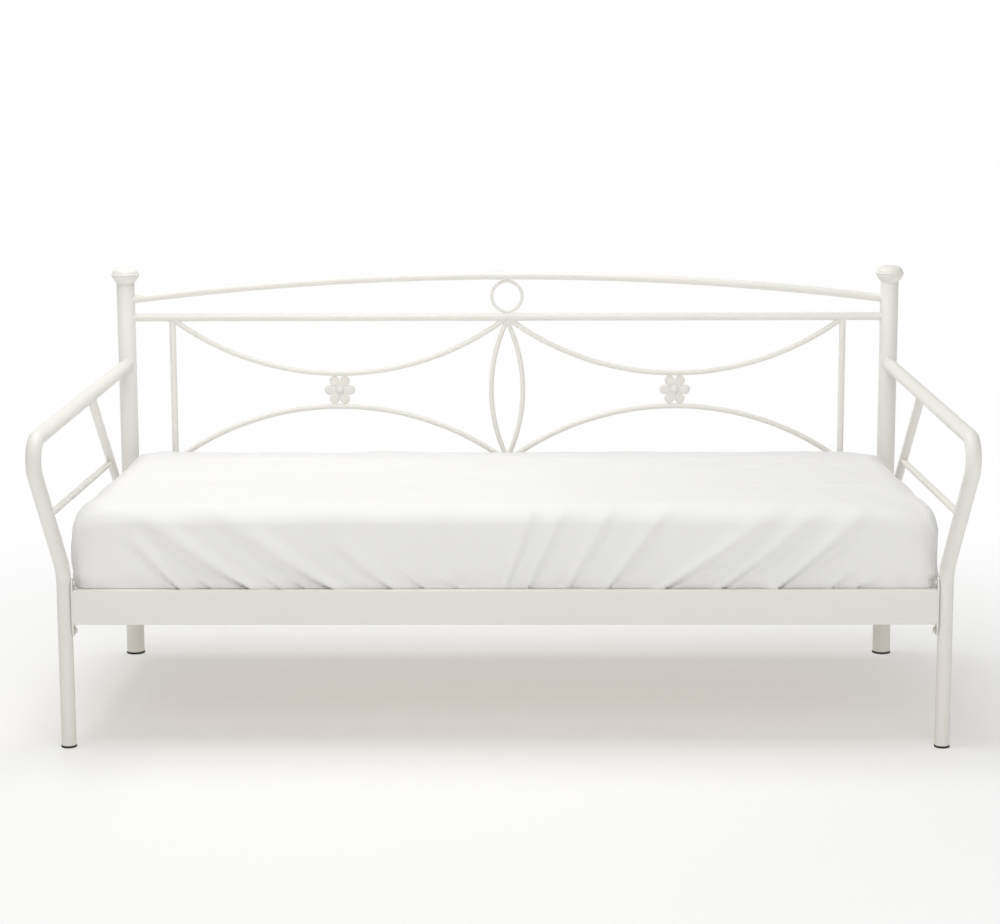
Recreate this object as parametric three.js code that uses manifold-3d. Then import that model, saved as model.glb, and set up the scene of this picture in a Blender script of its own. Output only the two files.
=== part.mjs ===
// A steel daybed: two rear posts with a scrolled back between them, two side frames that are arm and
// front leg in one bent tube, four bed rails, wooden slats, a mattress and its fitted sheet.
// Millimetres. +X is to the right of someone who faces the bed, +Y is towards the back, +Z is up.
// The origin is on the floor, in the middle of the bed's outline.

import * as THREE from "three";
import { mergeVertices } from "three/addons/utils/BufferGeometryUtils.js";
import Module from "manifold-3d";

const wasm = await Module();
wasm.setup();

// ---------------------------------------------------------------- driving dimensions

const GAP = 0.3; // between pieces that touch

// Overall
const LENGTH = 2070; // between the axes of the left and right posts, and of the legs
const DEPTH = 940; // from the leg axis to the post axis

// Rear posts and their caps
const POST_RADIUS = 24;
const POST_WALL = 2;
const POST_TOP = 1024;
const CAP_OVERHANG = 14; // of the cap's rim beyond the post
const CAP_CONE_HEIGHT = 24;
const CAP_RIM_HEIGHT = 5;
const CAP_DOME_HEIGHT = 19;
const CAP_PLUG_LENGTH = 25;

// Feet
const GLIDE_THICKNESS = 5;
const GLIDE_LIP = 1; // how far a glide stands out from its tube
const GLIDE_PLUG_LENGTH = 22;

// Side frames: arm, bend, sloping part and front leg are one tube
const ARM_RADIUS = 17.5;
const ARM_WALL = 1.5;
const ARM_HEIGHT = 806; // of the arm's axis where it meets the post
const ARM_SLOPE = THREE.MathUtils.degToRad(1.5); // down towards the front
const KNEE_RISE = 44; // from the rails' top to where the leg turns into the sloping part
const KNEE_RADIUS = 90;
const LEAN = THREE.MathUtils.degToRad(45); // of the sloping part, from the vertical
const ELBOW_RADIUS = 48;
const STRUT_RADIUS = 11;
const STRUT_WALL = 1.5;
const STRUT_SETBACK = 545; // from the post axis to the strut's top, along the arm
const SIDE_BAR_RADIUS = 8;
const SIDE_BAR_WALL = 1.2;
const SIDE_BAR_HEIGHT = 583;

// Bed rails
const RAIL_TOP = 381;
const RAIL_HEIGHT = 83;
const RAIL_DEPTH = 26; // of the flanges
const RAIL_SHEET = 2;
const RAIL_LIP = 8; // turned down behind the top flange
const SHELF_DEPTH = 44; // of the shelf that carries the slats, from the rail's face
const END_RAIL_HEIGHT = 50;
const END_RAIL_WIDTH = 25;
const END_RAIL_WALL = 1.5;
const PLATE_THICKNESS = 4;
const PLATE_DEPTH = 28;
const PLATE_REACH = 28; // of an end plate above and below its rail
const PLATE_BOLT_INSET = 13; // from a plate's pointed end to its bolt

// Bolts
const BOLT_RADIUS = 4;
const BOLT_HEAD_RADIUS = 7;
const BOLT_HEAD_HEIGHT = 5;
const BOLT_CLEARANCE = 0.4;
const BOLT_GRIP = 14; // how far a bolt goes on past what it clamps

// Back
const BACK_RAIL_RADIUS = 10.5;
const BACK_RAIL_WALL = 1.2;
const STRAIGHT_RAIL_HEIGHT = 934;
const LOWER_RAIL_HEIGHT = 536.5;
const ARCH_END_HEIGHT = 981;
const ARCH_RISE = 65;
const RING_BAR_RADIUS = 4.2;
const UPRIGHT_INSET = 125; // from the post axis to the upright bar
const UPRIGHT_RADIUS = 8.5;
const UPRIGHT_WALL = 1.2;
const ARC_RADIUS = 7; // of the bar that the swags and hills are bent from
const ARC_DROP = 143; // of a swag, and the rise of a hill
const ARC_START = 12; // from the middle of the back to where swags and hills begin
const LEAF_BAR_RADIUS = 6.4;
const LEAF_HALF_WIDTH = 43;
const FLOWER_THICKNESS = 10;
const FLOWER_PETALS = 6;
const FLOWER_EYE_HEIGHT = 5;
// The flower fills the space between swag and hill, so these are shares of its half height.
const PETAL_SHARE = 0.356;
const HUB_SHARE = 0.5;
const EYE_SHARE = 0.264;

// Slats, mattress and sheet
const SLAT_COUNT = 10;
const SLAT_WIDTH = 95;
const SLAT_THICKNESS = 18;
const SLAT_RECESS = 15; // from the rails' top down to the slats' top
const SLAT_END_CLEARANCE = 2;
const SLAT_MARGIN = 60; // from a rail's end to the first slat
const SLAT_CHAMFER = 2;
const MATTRESS_END_CLEARANCE = 2.5; // from the legs
const MATTRESS_HEIGHT = 208;
const MATTRESS_EDGE = 38; // rounding of its edges
const MATTRESS_CORNER = 50; // rounding of its upright corners
const MATTRESS_FRONT_CLEARANCE = 3; // from the front rail's flange
const MATTRESS_REAR_CLEARANCE = 5; // from the posts
const SHEET_THICKNESS = 1.5;
const SHEET_HEM = 12; // of the hem above the mattress's underside

// Facets
const SIDES_LARGE = 20;
const SIDES_MEDIUM = 16;
const SIDES_SMALL = 8;
const SIDES_BOLT = 10;
const ARCH_STEPS = 18;
const ARC_STEPS = 16;
const LEAF_STEPS = 14;
const KNEE_STEPS = 4;
const ELBOW_STEPS = 10;
const PETAL_POINTS = 8;

// How far cutting solids reach past what they cut
const HOLE_OVERRUN = 5;
const CUTTER_REACH = 60;

// ---------------------------------------------------------------- derived places

const halfLength = LENGTH / 2;
const capRimRadius = POST_RADIUS + CAP_OVERHANG;
const kneeHeight = RAIL_TOP + KNEE_RISE;
const slatTop = RAIL_TOP - SLAT_RECESS;

// The side tube's path, measured from the leg axis: forward is positive here.
const armFall = Math.tan(ARM_SLOPE);
const elbowHeight =
  (ARM_HEIGHT - armFall * (DEPTH - kneeHeight * Math.tan(LEAN))) / (1 + armFall * Math.tan(LEAN));
const elbowForward = (elbowHeight - kneeHeight) * Math.tan(LEAN);
const elbowTurn = Math.PI / 2 + LEAN - ARM_SLOPE;
const elbowCentreForward =
  elbowForward -
  ELBOW_RADIUS * Math.tan(elbowTurn / 2) * Math.cos(ARM_SLOPE) -
  ELBOW_RADIUS * Math.sin(ARM_SLOPE);
const armReach = elbowCentreForward + ELBOW_RADIUS + ARM_RADIUS;

const legY = (armReach - DEPTH - capRimRadius) / 2; // puts the origin in the middle of the outline
const postY = legY + DEPTH;
const armZ = (y) => ARM_HEIGHT - armFall * (postY - y);

const railBottom = RAIL_TOP - RAIL_HEIGHT;
const railMiddle = (RAIL_TOP + railBottom) / 2;
const frontFace = legY - RAIL_DEPTH / 2;
const rearFace = postY + RAIL_DEPTH / 2;
const slatBottom = slatTop - SLAT_THICKNESS;
const shelfTop = slatBottom - GAP;
const mattressBottom = slatTop + GAP;

const uprightX = halfLength - UPRIGHT_INSET;
const swagTop = STRAIGHT_RAIL_HEIGHT - BACK_RAIL_RADIUS;
const hillFoot = LOWER_RAIL_HEIGHT + BACK_RAIL_RADIUS;
const arcEnd = uprightX - UPRIGHT_RADIUS;

// ---------------------------------------------------------------- materials

const paint = new THREE.MeshStandardMaterial({ color: 0xe9e4d6, roughness: 0.38, metalness: 0.1 });
const capPaint = new THREE.MeshStandardMaterial({ color: 0xe9e4d6, roughness: 0.34, metalness: 0.1 });
const blackPlastic = new THREE.MeshStandardMaterial({ color: 0x1c1c1b, roughness: 0.55, metalness: 0 });
const zincSteel = new THREE.MeshStandardMaterial({ color: 0xb9b7ae, roughness: 0.4, metalness: 0.7 });
const beech = new THREE.MeshStandardMaterial({ color: 0xd0ab7c, roughness: 0.6, metalness: 0 });
const ticking = new THREE.MeshStandardMaterial({ color: 0xf0eee8, roughness: 0.9, metalness: 0 });
const cotton = new THREE.MeshStandardMaterial({ color: 0xf6f5f2, roughness: 0.92, metalness: 0 });

// ---------------------------------------------------------------- solids: joins and cuts

function solidOf(geometry) {
  const bare = new THREE.BufferGeometry();
  const loose = geometry.index ? geometry.toNonIndexed() : geometry;
  bare.setAttribute("position", loose.getAttribute("position").clone());
  const merged = mergeVertices(bare, 1e-4);
  return new wasm.Manifold(
    new wasm.Mesh({
      numProp: 3,
      vertProperties: new Float32Array(merged.attributes.position.array),
      triVerts: new Uint32Array(merged.index.array),
    }),
  );
}

function geometryOf(solid) {
  const mesh = solid.getMesh();
  const geometry = new THREE.BufferGeometry();
  geometry.setAttribute("position", new THREE.BufferAttribute(new Float32Array(mesh.vertProperties), 3));
  geometry.setIndex(new THREE.BufferAttribute(new Uint32Array(mesh.triVerts), 1));
  const flat = geometry.toNonIndexed();
  flat.computeVertexNormals();
  return flat;
}

// Cuts a piece and drops the offcuts past its ends.
function cut(geometry, cutters) {
  let solid = solidOf(geometry);
  for (const cutter of cutters) solid = solid.subtract(solidOf(cutter));
  const pieces = solid.decompose();
  pieces.sort((a, b) => b.volume() - a.volume());
  return geometryOf(pieces[0]);
}

function join(geometries) {
  let solid = solidOf(geometries[0]);
  for (const next of geometries.slice(1)) solid = solid.add(solidOf(next));
  return geometryOf(solid);
}

// ---------------------------------------------------------------- paths and sections

// A path through stations, each a point with its own direction, so that long straights take one step
// and bends take several.
class StationPath extends THREE.Curve {
  constructor(stations) {
    super();
    this.stations = stations;
  }
  at(t, key) {
    const last = this.stations.length - 1;
    const place = THREE.MathUtils.clamp(t, 0, 1) * last;
    const index = Math.min(Math.floor(place), last - 1);
    const here = this.stations[index][key];
    return here.clone().lerp(this.stations[index + 1][key], place - index);
  }
  getPoint(t) {
    return this.at(t, "point");
  }
  getTangent(t) {
    return this.at(t, "direction").normalize();
  }
  getUtoTmapping(u) {
    return u;
  }
}

// Straight lines through the corners, with each inner corner rounded to its radius.
function roundedPath(corners, radii, stepsPerBend) {
  const stations = [];
  const first = corners[1].clone().sub(corners[0]).normalize();
  stations.push({ point: corners[0].clone(), direction: first });
  for (let i = 1; i < corners.length - 1; i += 1) {
    const into = corners[i].clone().sub(corners[i - 1]).normalize();
    const out = corners[i + 1].clone().sub(corners[i]).normalize();
    const turn = into.angleTo(out);
    const radius = radii[i - 1];
    const start = corners[i].clone().addScaledVector(into, -radius * Math.tan(turn / 2));
    const inward = out.clone().addScaledVector(into, -out.dot(into)).normalize();
    const centre = start.clone().addScaledVector(inward, radius);
    const steps = stepsPerBend[i - 1];
    for (let step = 0; step <= steps; step += 1) {
      const angle = (turn * step) / steps;
      const point = centre
        .clone()
        .addScaledVector(inward, -radius * Math.cos(angle))
        .addScaledVector(into, radius * Math.sin(angle));
      const direction = into
        .clone()
        .multiplyScalar(Math.cos(angle))
        .addScaledVector(inward, Math.sin(angle));
      stations.push({ point, direction });
    }
  }
  const before = corners[corners.length - 2];
  const end = corners[corners.length - 1];
  stations.push({ point: end.clone(), direction: end.clone().sub(before).normalize() });
  return new StationPath(stations);
}

// An arc in the upright plane of the back, from one end to the other, bulging by `rise` (down if negative)
// and carried on past both ends by `overrun`, measured along the arc.
function backArc(from, to, rise, overrun, steps) {
  const chord = to.clone().sub(from);
  const half = chord.length() / 2;
  const along = chord.clone().normalize();
  const across = new THREE.Vector3(-along.z, 0, along.x).multiplyScalar(Math.sign(rise));
  const height = Math.abs(rise);
  const radius = (half * half + height * height) / (2 * height);
  const middle = from.clone().add(to).multiplyScalar(0.5);
  const centre = middle.clone().addScaledVector(across, height - radius);
  const sweep = Math.asin(half / radius) + overrun / radius;
  const stations = [];
  for (let step = 0; step <= steps; step += 1) {
    const angle = -sweep + (2 * sweep * step) / steps;
    const point = centre
      .clone()
      .addScaledVector(along, radius * Math.sin(angle))
      .addScaledVector(across, radius * Math.cos(angle));
    const direction = along
      .clone()
      .multiplyScalar(Math.cos(angle))
      .addScaledVector(across, -Math.sin(angle));
    stations.push({ point, direction });
  }
  return new StationPath(stations);
}

function circle(radius, sides) {
  const points = [];
  for (let i = 0; i < sides; i += 1) {
    const angle = (2 * Math.PI * i) / sides;
    points.push(new THREE.Vector2(radius * Math.cos(angle), radius * Math.sin(angle)));
  }
  return points;
}

function tubeShape(radius, wall, sides) {
  const shape = new THREE.Shape(circle(radius, sides));
  if (wall) shape.holes.push(new THREE.Path(circle(radius - wall, innerSides(sides))));
  return shape;
}

function innerSides(sides) {
  return sides - 4;
}

// The radius of a plug that goes into a tube with a gap all round.
function plugRadius(radius, wall, sides) {
  return (radius - wall) * Math.cos(Math.PI / innerSides(sides)) - GAP;
}

function tubeAlong(path, radius, wall, sides) {
  return new THREE.ExtrudeGeometry(tubeShape(radius, wall, sides), {
    steps: path.stations.length - 1,
    extrudePath: path,
    bevelEnabled: false,
  });
}

function straightTube(from, to, radius, wall, sides) {
  return tubeAlong(roundedPath([from, to], [], []), radius, wall, sides);
}

// A full round bar a gap larger than a tube, to cut a neighbour's end to the tube's surface.
function clearanceBar(from, to, radius, sides) {
  return straightTube(from, to, radius + GAP, 0, sides);
}

function boxBetween(corner, opposite) {
  const box = new THREE.Box3().setFromPoints([corner, opposite]);
  const size = box.getSize(new THREE.Vector3());
  const middle = box.getCenter(new THREE.Vector3());
  return new THREE.BoxGeometry(size.x, size.y, size.z).translate(middle.x, middle.y, middle.z);
}

const at = (x, y, z) => new THREE.Vector3(x, y, z);

// ---------------------------------------------------------------- the group

const daybed = new THREE.Group();

function add(name, geometry, material) {
  const mesh = new THREE.Mesh(geometry, material);
  mesh.name = name;
  daybed.add(mesh);
  return mesh;
}

const SIDES = [
  ["left", -1],
  ["right", 1],
];

// Each bolt lies along `axis`, with its head's underside at `seat` and its shank pointing along the axis.
function boltGeometry(shank) {
  const profile = [
    [0, -BOLT_HEAD_HEIGHT],
    [BOLT_HEAD_RADIUS * 0.62, -BOLT_HEAD_HEIGHT],
    [BOLT_HEAD_RADIUS, -BOLT_HEAD_HEIGHT * 0.45],
    [BOLT_HEAD_RADIUS, 0],
    [BOLT_RADIUS, 0],
    [BOLT_RADIUS, shank],
    [0, shank],
  ];
  return new THREE.LatheGeometry(
    profile.map(([radius, height]) => new THREE.Vector2(radius, height)),
    SIDES_BOLT,
  );
}

function addBolt(name, seat, axis, shank) {
  const bolt = add(name, boltGeometry(shank), zincSteel);
  bolt.quaternion.setFromUnitVectors(at(0, 1, 0), axis);
  bolt.position.copy(seat);
}

function boltHole(from, to) {
  return straightTube(from, to, BOLT_RADIUS + BOLT_CLEARANCE, 0, SIDES_BOLT);
}

// ---------------------------------------------------------------- rear posts, caps and glides

const plateBoltHeights = [
  railBottom - PLATE_REACH + PLATE_BOLT_INSET,
  RAIL_TOP + PLATE_REACH - PLATE_BOLT_INSET,
];
const postPlateFace = halfLength - POST_RADIUS - GAP; // where the rear rail's end plates begin
const legPlateFace = halfLength - ARM_RADIUS - GAP; // and the front rail's

function addPost(side, sign) {
  const x = sign * halfLength;
  const foot = at(x, postY, GLIDE_THICKNESS + GAP);
  const tube = straightTube(foot, at(x, postY, POST_TOP), POST_RADIUS, POST_WALL, SIDES_LARGE);
  const innerX = x - sign * (POST_RADIUS + HOLE_OVERRUN);
  const holes = plateBoltHeights.map((z) => boltHole(at(x, postY, z), at(innerX, postY, z)));
  const through = POST_RADIUS + HOLE_OVERRUN;
  for (const z of [ARM_HEIGHT, railMiddle]) {
    holes.push(boltHole(at(x, postY - through, z), at(x, postY + through, z)));
  }
  add(`rear_post_${side}`, cut(tube, holes), paint);
}

function addCap(side, sign) {
  const plug = plugRadius(POST_RADIUS, POST_WALL, SIDES_LARGE);
  const base = POST_TOP + GAP;
  const profile = [
    [0, base - CAP_PLUG_LENGTH],
    [plug, base - CAP_PLUG_LENGTH],
    [plug, base],
    [POST_RADIUS, base],
    [POST_RADIUS + 2, base + CAP_CONE_HEIGHT * 0.4],
    [capRimRadius - 3, base + CAP_CONE_HEIGHT],
    [capRimRadius, base + CAP_CONE_HEIGHT],
    [capRimRadius, base + CAP_CONE_HEIGHT + CAP_RIM_HEIGHT],
  ];
  const domeBase = base + CAP_CONE_HEIGHT + CAP_RIM_HEIGHT;
  const domeSteps = 5;
  for (let i = 0; i < domeSteps; i += 1) {
    const angle = (Math.PI / 2) * (i / domeSteps);
    profile.push([(capRimRadius - 3) * Math.cos(angle), domeBase + CAP_DOME_HEIGHT * Math.sin(angle)]);
  }
  profile.push([0, domeBase + CAP_DOME_HEIGHT]);
  const cap = new THREE.LatheGeometry(
    profile.map(([radius, height]) => new THREE.Vector2(radius, height)),
    SIDES_LARGE,
  );
  cap.rotateX(Math.PI / 2);
  add(`post_cap_${side}`, cap, capPaint).position.set(sign * halfLength, postY, 0);
}

function addGlide(name, x, y, tubeRadius, wall, sides) {
  const plug = plugRadius(tubeRadius, wall, sides);
  const profile = [
    [0, 0],
    [tubeRadius + GLIDE_LIP - 1.5, 0],
    [tubeRadius + GLIDE_LIP, 1.5],
    [tubeRadius + GLIDE_LIP, GLIDE_THICKNESS],
    [plug, GLIDE_THICKNESS],
    [plug, GLIDE_THICKNESS + GLIDE_PLUG_LENGTH],
    [0, GLIDE_THICKNESS + GLIDE_PLUG_LENGTH],
  ];
  const glide = new THREE.LatheGeometry(
    profile.map(([radius, height]) => new THREE.Vector2(radius, height)),
    SIDES_MEDIUM,
  );
  glide.rotateX(Math.PI / 2);
  add(name, glide, blackPlastic).position.set(x, y, 0);
}

// ---------------------------------------------------------------- the back

const postBars = SIDES.map(([, sign]) => {
  const x = sign * halfLength;
  return clearanceBar(at(x, postY, 0), at(x, postY, POST_TOP), POST_RADIUS, SIDES_LARGE);
});

const backRailSpan = (z) => [at(-halfLength, postY, z), at(halfLength, postY, z)];
const straightRailBar = clearanceBar(...backRailSpan(STRAIGHT_RAIL_HEIGHT), BACK_RAIL_RADIUS, SIDES_MEDIUM);
const lowerRailBar = clearanceBar(...backRailSpan(LOWER_RAIL_HEIGHT), BACK_RAIL_RADIUS, SIDES_MEDIUM);

function addBackRails() {
  const arch = backArc(...backRailSpan(ARCH_END_HEIGHT), ARCH_RISE, 0, ARCH_STEPS);
  add("back_top_rail", cut(tubeAlong(arch, BACK_RAIL_RADIUS, BACK_RAIL_WALL, SIDES_MEDIUM), postBars), paint);
  for (const [name, z] of [
    ["back_straight_rail", STRAIGHT_RAIL_HEIGHT],
    ["back_lower_rail", LOWER_RAIL_HEIGHT],
  ]) {
    const rail = straightTube(...backRailSpan(z), BACK_RAIL_RADIUS, BACK_RAIL_WALL, SIDES_MEDIUM);
    add(name, cut(rail, postBars), paint);
  }
}

function addRing() {
  const above = ARCH_END_HEIGHT + ARCH_RISE - BACK_RAIL_RADIUS;
  const below = STRAIGHT_RAIL_HEIGHT + BACK_RAIL_RADIUS;
  const outerRadius = (above - below) / 2 - GAP;
  const ring = new THREE.TorusGeometry(outerRadius - RING_BAR_RADIUS, RING_BAR_RADIUS, 8, 28);
  ring.rotateX(Math.PI / 2);
  add("back_ring", ring, paint).position.set(0, postY, (above + below) / 2);
}

function uprightEnds(sign) {
  const x = sign * uprightX;
  return [at(x, postY, LOWER_RAIL_HEIGHT), at(x, postY, STRAIGHT_RAIL_HEIGHT)];
}

function leafPath(sign, overrun) {
  return backArc(at(0, postY, hillFoot), at(0, postY, swagTop), -sign * LEAF_HALF_WIDTH, overrun, LEAF_STEPS);
}

function addBackBay(side, sign) {
  const railBars = [straightRailBar, lowerRailBar];
  const upright = straightTube(...uprightEnds(sign), UPRIGHT_RADIUS, UPRIGHT_WALL, SIDES_MEDIUM);
  add(`back_upright_${side}`, cut(upright, railBars), paint);

  const overrun = ARC_RADIUS * 2;
  const otherHalf = boxBetween(
    at(-sign * CUTTER_REACH, postY - CUTTER_REACH, hillFoot - CUTTER_REACH),
    at((sign * GAP) / 2, postY + CUTTER_REACH, swagTop + CUTTER_REACH),
  );
  const leaf = tubeAlong(leafPath(sign, overrun), LEAF_BAR_RADIUS, 0, SIDES_SMALL);
  add(`back_leaf_arc_${side}`, cut(leaf, [...railBars, otherHalf]), paint);

  const leafBars = SIDES.map(([, way]) =>
    tubeAlong(leafPath(way, overrun), LEAF_BAR_RADIUS + GAP, 0, SIDES_SMALL),
  );
  const uprightBar = clearanceBar(...uprightEnds(sign), UPRIGHT_RADIUS, SIDES_MEDIUM);
  for (const [name, z, rise] of [
    ["back_swag", swagTop, -ARC_DROP],
    ["back_hill", hillFoot, ARC_DROP],
  ]) {
    const path = backArc(at(ARC_START, postY, z), at(arcEnd, postY, z), rise, overrun, ARC_STEPS);
    const arc = tubeAlong(path, ARC_RADIUS, 0, SIDES_SMALL);
    if (sign < 0) arc.rotateZ(Math.PI).translate(0, 2 * postY, 0);
    add(`${name}_${side}`, cut(arc, [...railBars, ...leafBars, uprightBar, otherHalf]), paint);
  }
}

// The outline of a flower: round petals around a hub, as a distance from the middle for each direction.
function flowerOutline(petalCentre, petalRadius, hubRadius, pointsPerPetal) {
  const points = [];
  const count = FLOWER_PETALS * pointsPerPetal;
  for (let i = 0; i < count; i += 1) {
    const angle = (2 * Math.PI * i) / count;
    const share = (2 * Math.PI) / FLOWER_PETALS;
    const off = angle - share * Math.round(angle / share);
    const inside = petalRadius ** 2 - (petalCentre * Math.sin(off)) ** 2;
    const reach = inside > 0 ? petalCentre * Math.cos(off) + Math.sqrt(inside) : 0;
    const radius = Math.max(reach, hubRadius);
    points.push(new THREE.Vector2(radius * Math.cos(angle), radius * Math.sin(angle)));
  }
  return points;
}

function addFlower(side, sign) {
  const above = swagTop - ARC_DROP - ARC_RADIUS;
  const below = hillFoot + ARC_DROP + ARC_RADIUS;
  const halfHeight = (above - below) / 2 - GAP;
  const petalRadius = halfHeight * PETAL_SHARE;
  const petalCentre = (halfHeight - petalRadius) / Math.sin(Math.PI / 3);
  const outline = flowerOutline(petalCentre, petalRadius, halfHeight * HUB_SHARE, PETAL_POINTS);
  const disc = new THREE.ExtrudeGeometry(new THREE.Shape(outline), {
    depth: FLOWER_THICKNESS,
    bevelEnabled: false,
  });
  disc.translate(0, 0, -FLOWER_THICKNESS / 2);
  const eyeReach = FLOWER_THICKNESS / 2 + FLOWER_EYE_HEIGHT;
  const eyeRadius = halfHeight * EYE_SHARE;
  const eye = new THREE.SphereGeometry(1, 12, 8).scale(eyeRadius, eyeRadius, eyeReach);
  const flower = join([disc, eye]);
  flower.rotateX(Math.PI / 2);
  add(`back_flower_${side}`, flower, paint).position.set(
    (sign * (ARC_START + arcEnd)) / 2,
    postY,
    (above + below) / 2,
  );
}

// ---------------------------------------------------------------- side frames

// The strut aims at the corner between the end rail's top and the post.
const strutTopY = postY - STRUT_SETBACK;
const strutFall =
  (armZ(strutTopY) - railMiddle - END_RAIL_HEIGHT / 2) / (STRUT_SETBACK - POST_RADIUS);
const strutZ = (y) => armZ(strutTopY) - (y - strutTopY) * strutFall;
const strutYAt = (z) => strutTopY + (armZ(strutTopY) - z) / strutFall;
const slopeY = (z) => legY - (z - kneeHeight) * Math.tan(LEAN);

// The end rail's outline, grown all round its section and carried on past both ends.
function endRailBlock(x, grow, overrun) {
  const halfWidth = END_RAIL_WIDTH / 2 + grow;
  const halfHeight = END_RAIL_HEIGHT / 2 + grow;
  return boxBetween(
    at(x - halfWidth, legY - overrun, railMiddle - halfHeight),
    at(x + halfWidth, postY + overrun, railMiddle + halfHeight),
  );
}

function addSideFrame(side, sign) {
  const x = sign * halfLength;
  const foot = at(x, legY, GLIDE_THICKNESS + GAP);
  const knee = at(x, legY, kneeHeight);
  const elbow = at(x, legY - elbowForward, elbowHeight);
  const rearEnd = at(x, postY, ARM_HEIGHT);
  const postBar = postBars[sign < 0 ? 0 : 1];

  const bends = [KNEE_RADIUS, ELBOW_RADIUS];
  const path = roundedPath([foot, knee, elbow, rearEnd], bends, [KNEE_STEPS, ELBOW_STEPS]);
  const tube = tubeAlong(path, ARM_RADIUS, ARM_WALL, SIDES_MEDIUM);
  const innerX = x - sign * (ARM_RADIUS + HOLE_OVERRUN);
  const holes = plateBoltHeights.map((z) => boltHole(at(x, legY, z), at(innerX, legY, z)));
  add(`arm_and_leg_${side}`, cut(tube, [postBar, ...holes]), paint);

  const armBar = clearanceBar(elbow, rearEnd, ARM_RADIUS, SIDES_MEDIUM);
  const slopeBar = clearanceBar(knee, elbow, ARM_RADIUS, SIDES_MEDIUM);
  const legBar = clearanceBar(foot, knee, ARM_RADIUS, SIDES_MEDIUM);

  const strutEnds = [at(x, strutTopY, armZ(strutTopY)), at(x, postY, strutZ(postY))];
  const strut = straightTube(...strutEnds, STRUT_RADIUS, STRUT_WALL, SIDES_MEDIUM);
  add(`side_strut_${side}`, cut(strut, [armBar, postBar, endRailBlock(x, GAP, 0)]), paint);

  const strutBar = clearanceBar(...strutEnds, STRUT_RADIUS, SIDES_MEDIUM);
  const barEnds = [slopeY(SIDE_BAR_HEIGHT), strutYAt(SIDE_BAR_HEIGHT)].map((y) => at(x, y, SIDE_BAR_HEIGHT));
  const bar = straightTube(...barEnds, SIDE_BAR_RADIUS, SIDE_BAR_WALL, SIDES_MEDIUM);
  add(`side_bar_${side}`, cut(bar, [slopeBar, strutBar]), paint);

  const hollow = endRailBlock(x, -END_RAIL_WALL, HOLE_OVERRUN);
  add(`end_rail_${side}`, cut(endRailBlock(x, 0, 0), [hollow, legBar, postBar]), paint);

  for (const [name, z] of [
    ["arm_bolt", ARM_HEIGHT],
    ["end_rail_bolt", railMiddle],
  ]) {
    const seat = at(x, postY + POST_RADIUS + GAP, z);
    addBolt(`${name}_${side}`, seat, at(0, -1, 0), 2 * POST_RADIUS + BOLT_GRIP);
  }
}

// ---------------------------------------------------------------- front and rear rails

// The rail's section, from its outer face inwards (depth) and up: a web, two flanges, a turned-down lip
// and the shelf that carries the slats.
function railSection() {
  const s = RAIL_SHEET;
  return [
    [0, railBottom],
    [RAIL_DEPTH, railBottom],
    [RAIL_DEPTH, railBottom + s],
    [s, railBottom + s],
    [s, shelfTop - s],
    [SHELF_DEPTH, shelfTop - s],
    [SHELF_DEPTH, shelfTop],
    [s, shelfTop],
    [s, RAIL_TOP - s],
    [RAIL_DEPTH - s, RAIL_TOP - s],
    [RAIL_DEPTH - s, RAIL_TOP - RAIL_LIP],
    [RAIL_DEPTH, RAIL_TOP - RAIL_LIP],
    [RAIL_DEPTH, RAIL_TOP],
    [0, RAIL_TOP],
  ];
}

// An end plate: a strip with an ogee point at each end, rounded off where the bolt sits.
function plateShape() {
  const half = PLATE_DEPTH / 2;
  const top = RAIL_TOP + PLATE_REACH;
  const bottom = railBottom - PLATE_REACH;
  const tip = PLATE_BOLT_INSET - 3;
  const shape = new THREE.Shape();
  shape.moveTo(half, railBottom);
  shape.lineTo(half, RAIL_TOP);
  shape.quadraticCurveTo(half, RAIL_TOP + PLATE_REACH / 2, tip, top - tip);
  shape.absarc(0, top - tip, tip, 0, Math.PI, false);
  shape.quadraticCurveTo(-half, RAIL_TOP + PLATE_REACH / 2, -half, RAIL_TOP);
  shape.lineTo(-half, railBottom);
  shape.quadraticCurveTo(-half, railBottom - PLATE_REACH / 2, -tip, bottom + tip);
  shape.absarc(0, bottom + tip, tip, Math.PI, 2 * Math.PI, false);
  shape.quadraticCurveTo(half, railBottom - PLATE_REACH / 2, half, railBottom);
  return shape;
}

function addBedRail(name, face, inward, plateY, plateFace) {
  const halfSpan = plateFace - PLATE_THICKNESS - GAP;
  const section = railSection().map(([depth, z]) => new THREE.Vector2(face + inward * depth, z));
  const rail = new THREE.ExtrudeGeometry(new THREE.Shape(section), {
    depth: 2 * halfSpan,
    bevelEnabled: false,
  });
  rail.applyMatrix4(new THREE.Matrix4().makeBasis(at(0, 1, 0), at(0, 0, 1), at(1, 0, 0)));
  add(`${name}_rail`, rail, paint).position.x = -halfSpan;

  for (const [side, sign] of SIDES) {
    const plate = new THREE.ExtrudeGeometry(plateShape(), {
      depth: PLATE_THICKNESS,
      bevelEnabled: false,
      curveSegments: 4,
    });
    plate.applyMatrix4(new THREE.Matrix4().makeBasis(at(0, 1, 0), at(0, 0, 1), at(1, 0, 0)));
    const outer = sign * plateFace;
    const inner = outer - sign * PLATE_THICKNESS;
    plate.translate(Math.min(outer, inner), plateY, 0);
    const seatX = inner - sign * GAP;
    const overrun = sign * HOLE_OVERRUN;
    const holes = plateBoltHeights.map((z) =>
      boltHole(at(inner - overrun, plateY, z), at(outer + overrun, plateY, z)),
    );
    add(`${name}_end_plate_${side}`, cut(plate, holes), paint);
    for (const [place, z] of [
      ["lower", plateBoltHeights[0]],
      ["upper", plateBoltHeights[1]],
    ]) {
      const seat = at(seatX, plateY, z);
      addBolt(`${name}_${place}_bolt_${side}`, seat, at(sign, 0, 0), PLATE_THICKNESS + BOLT_GRIP);
    }
  }
}

// ---------------------------------------------------------------- slats, mattress and sheet

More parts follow.
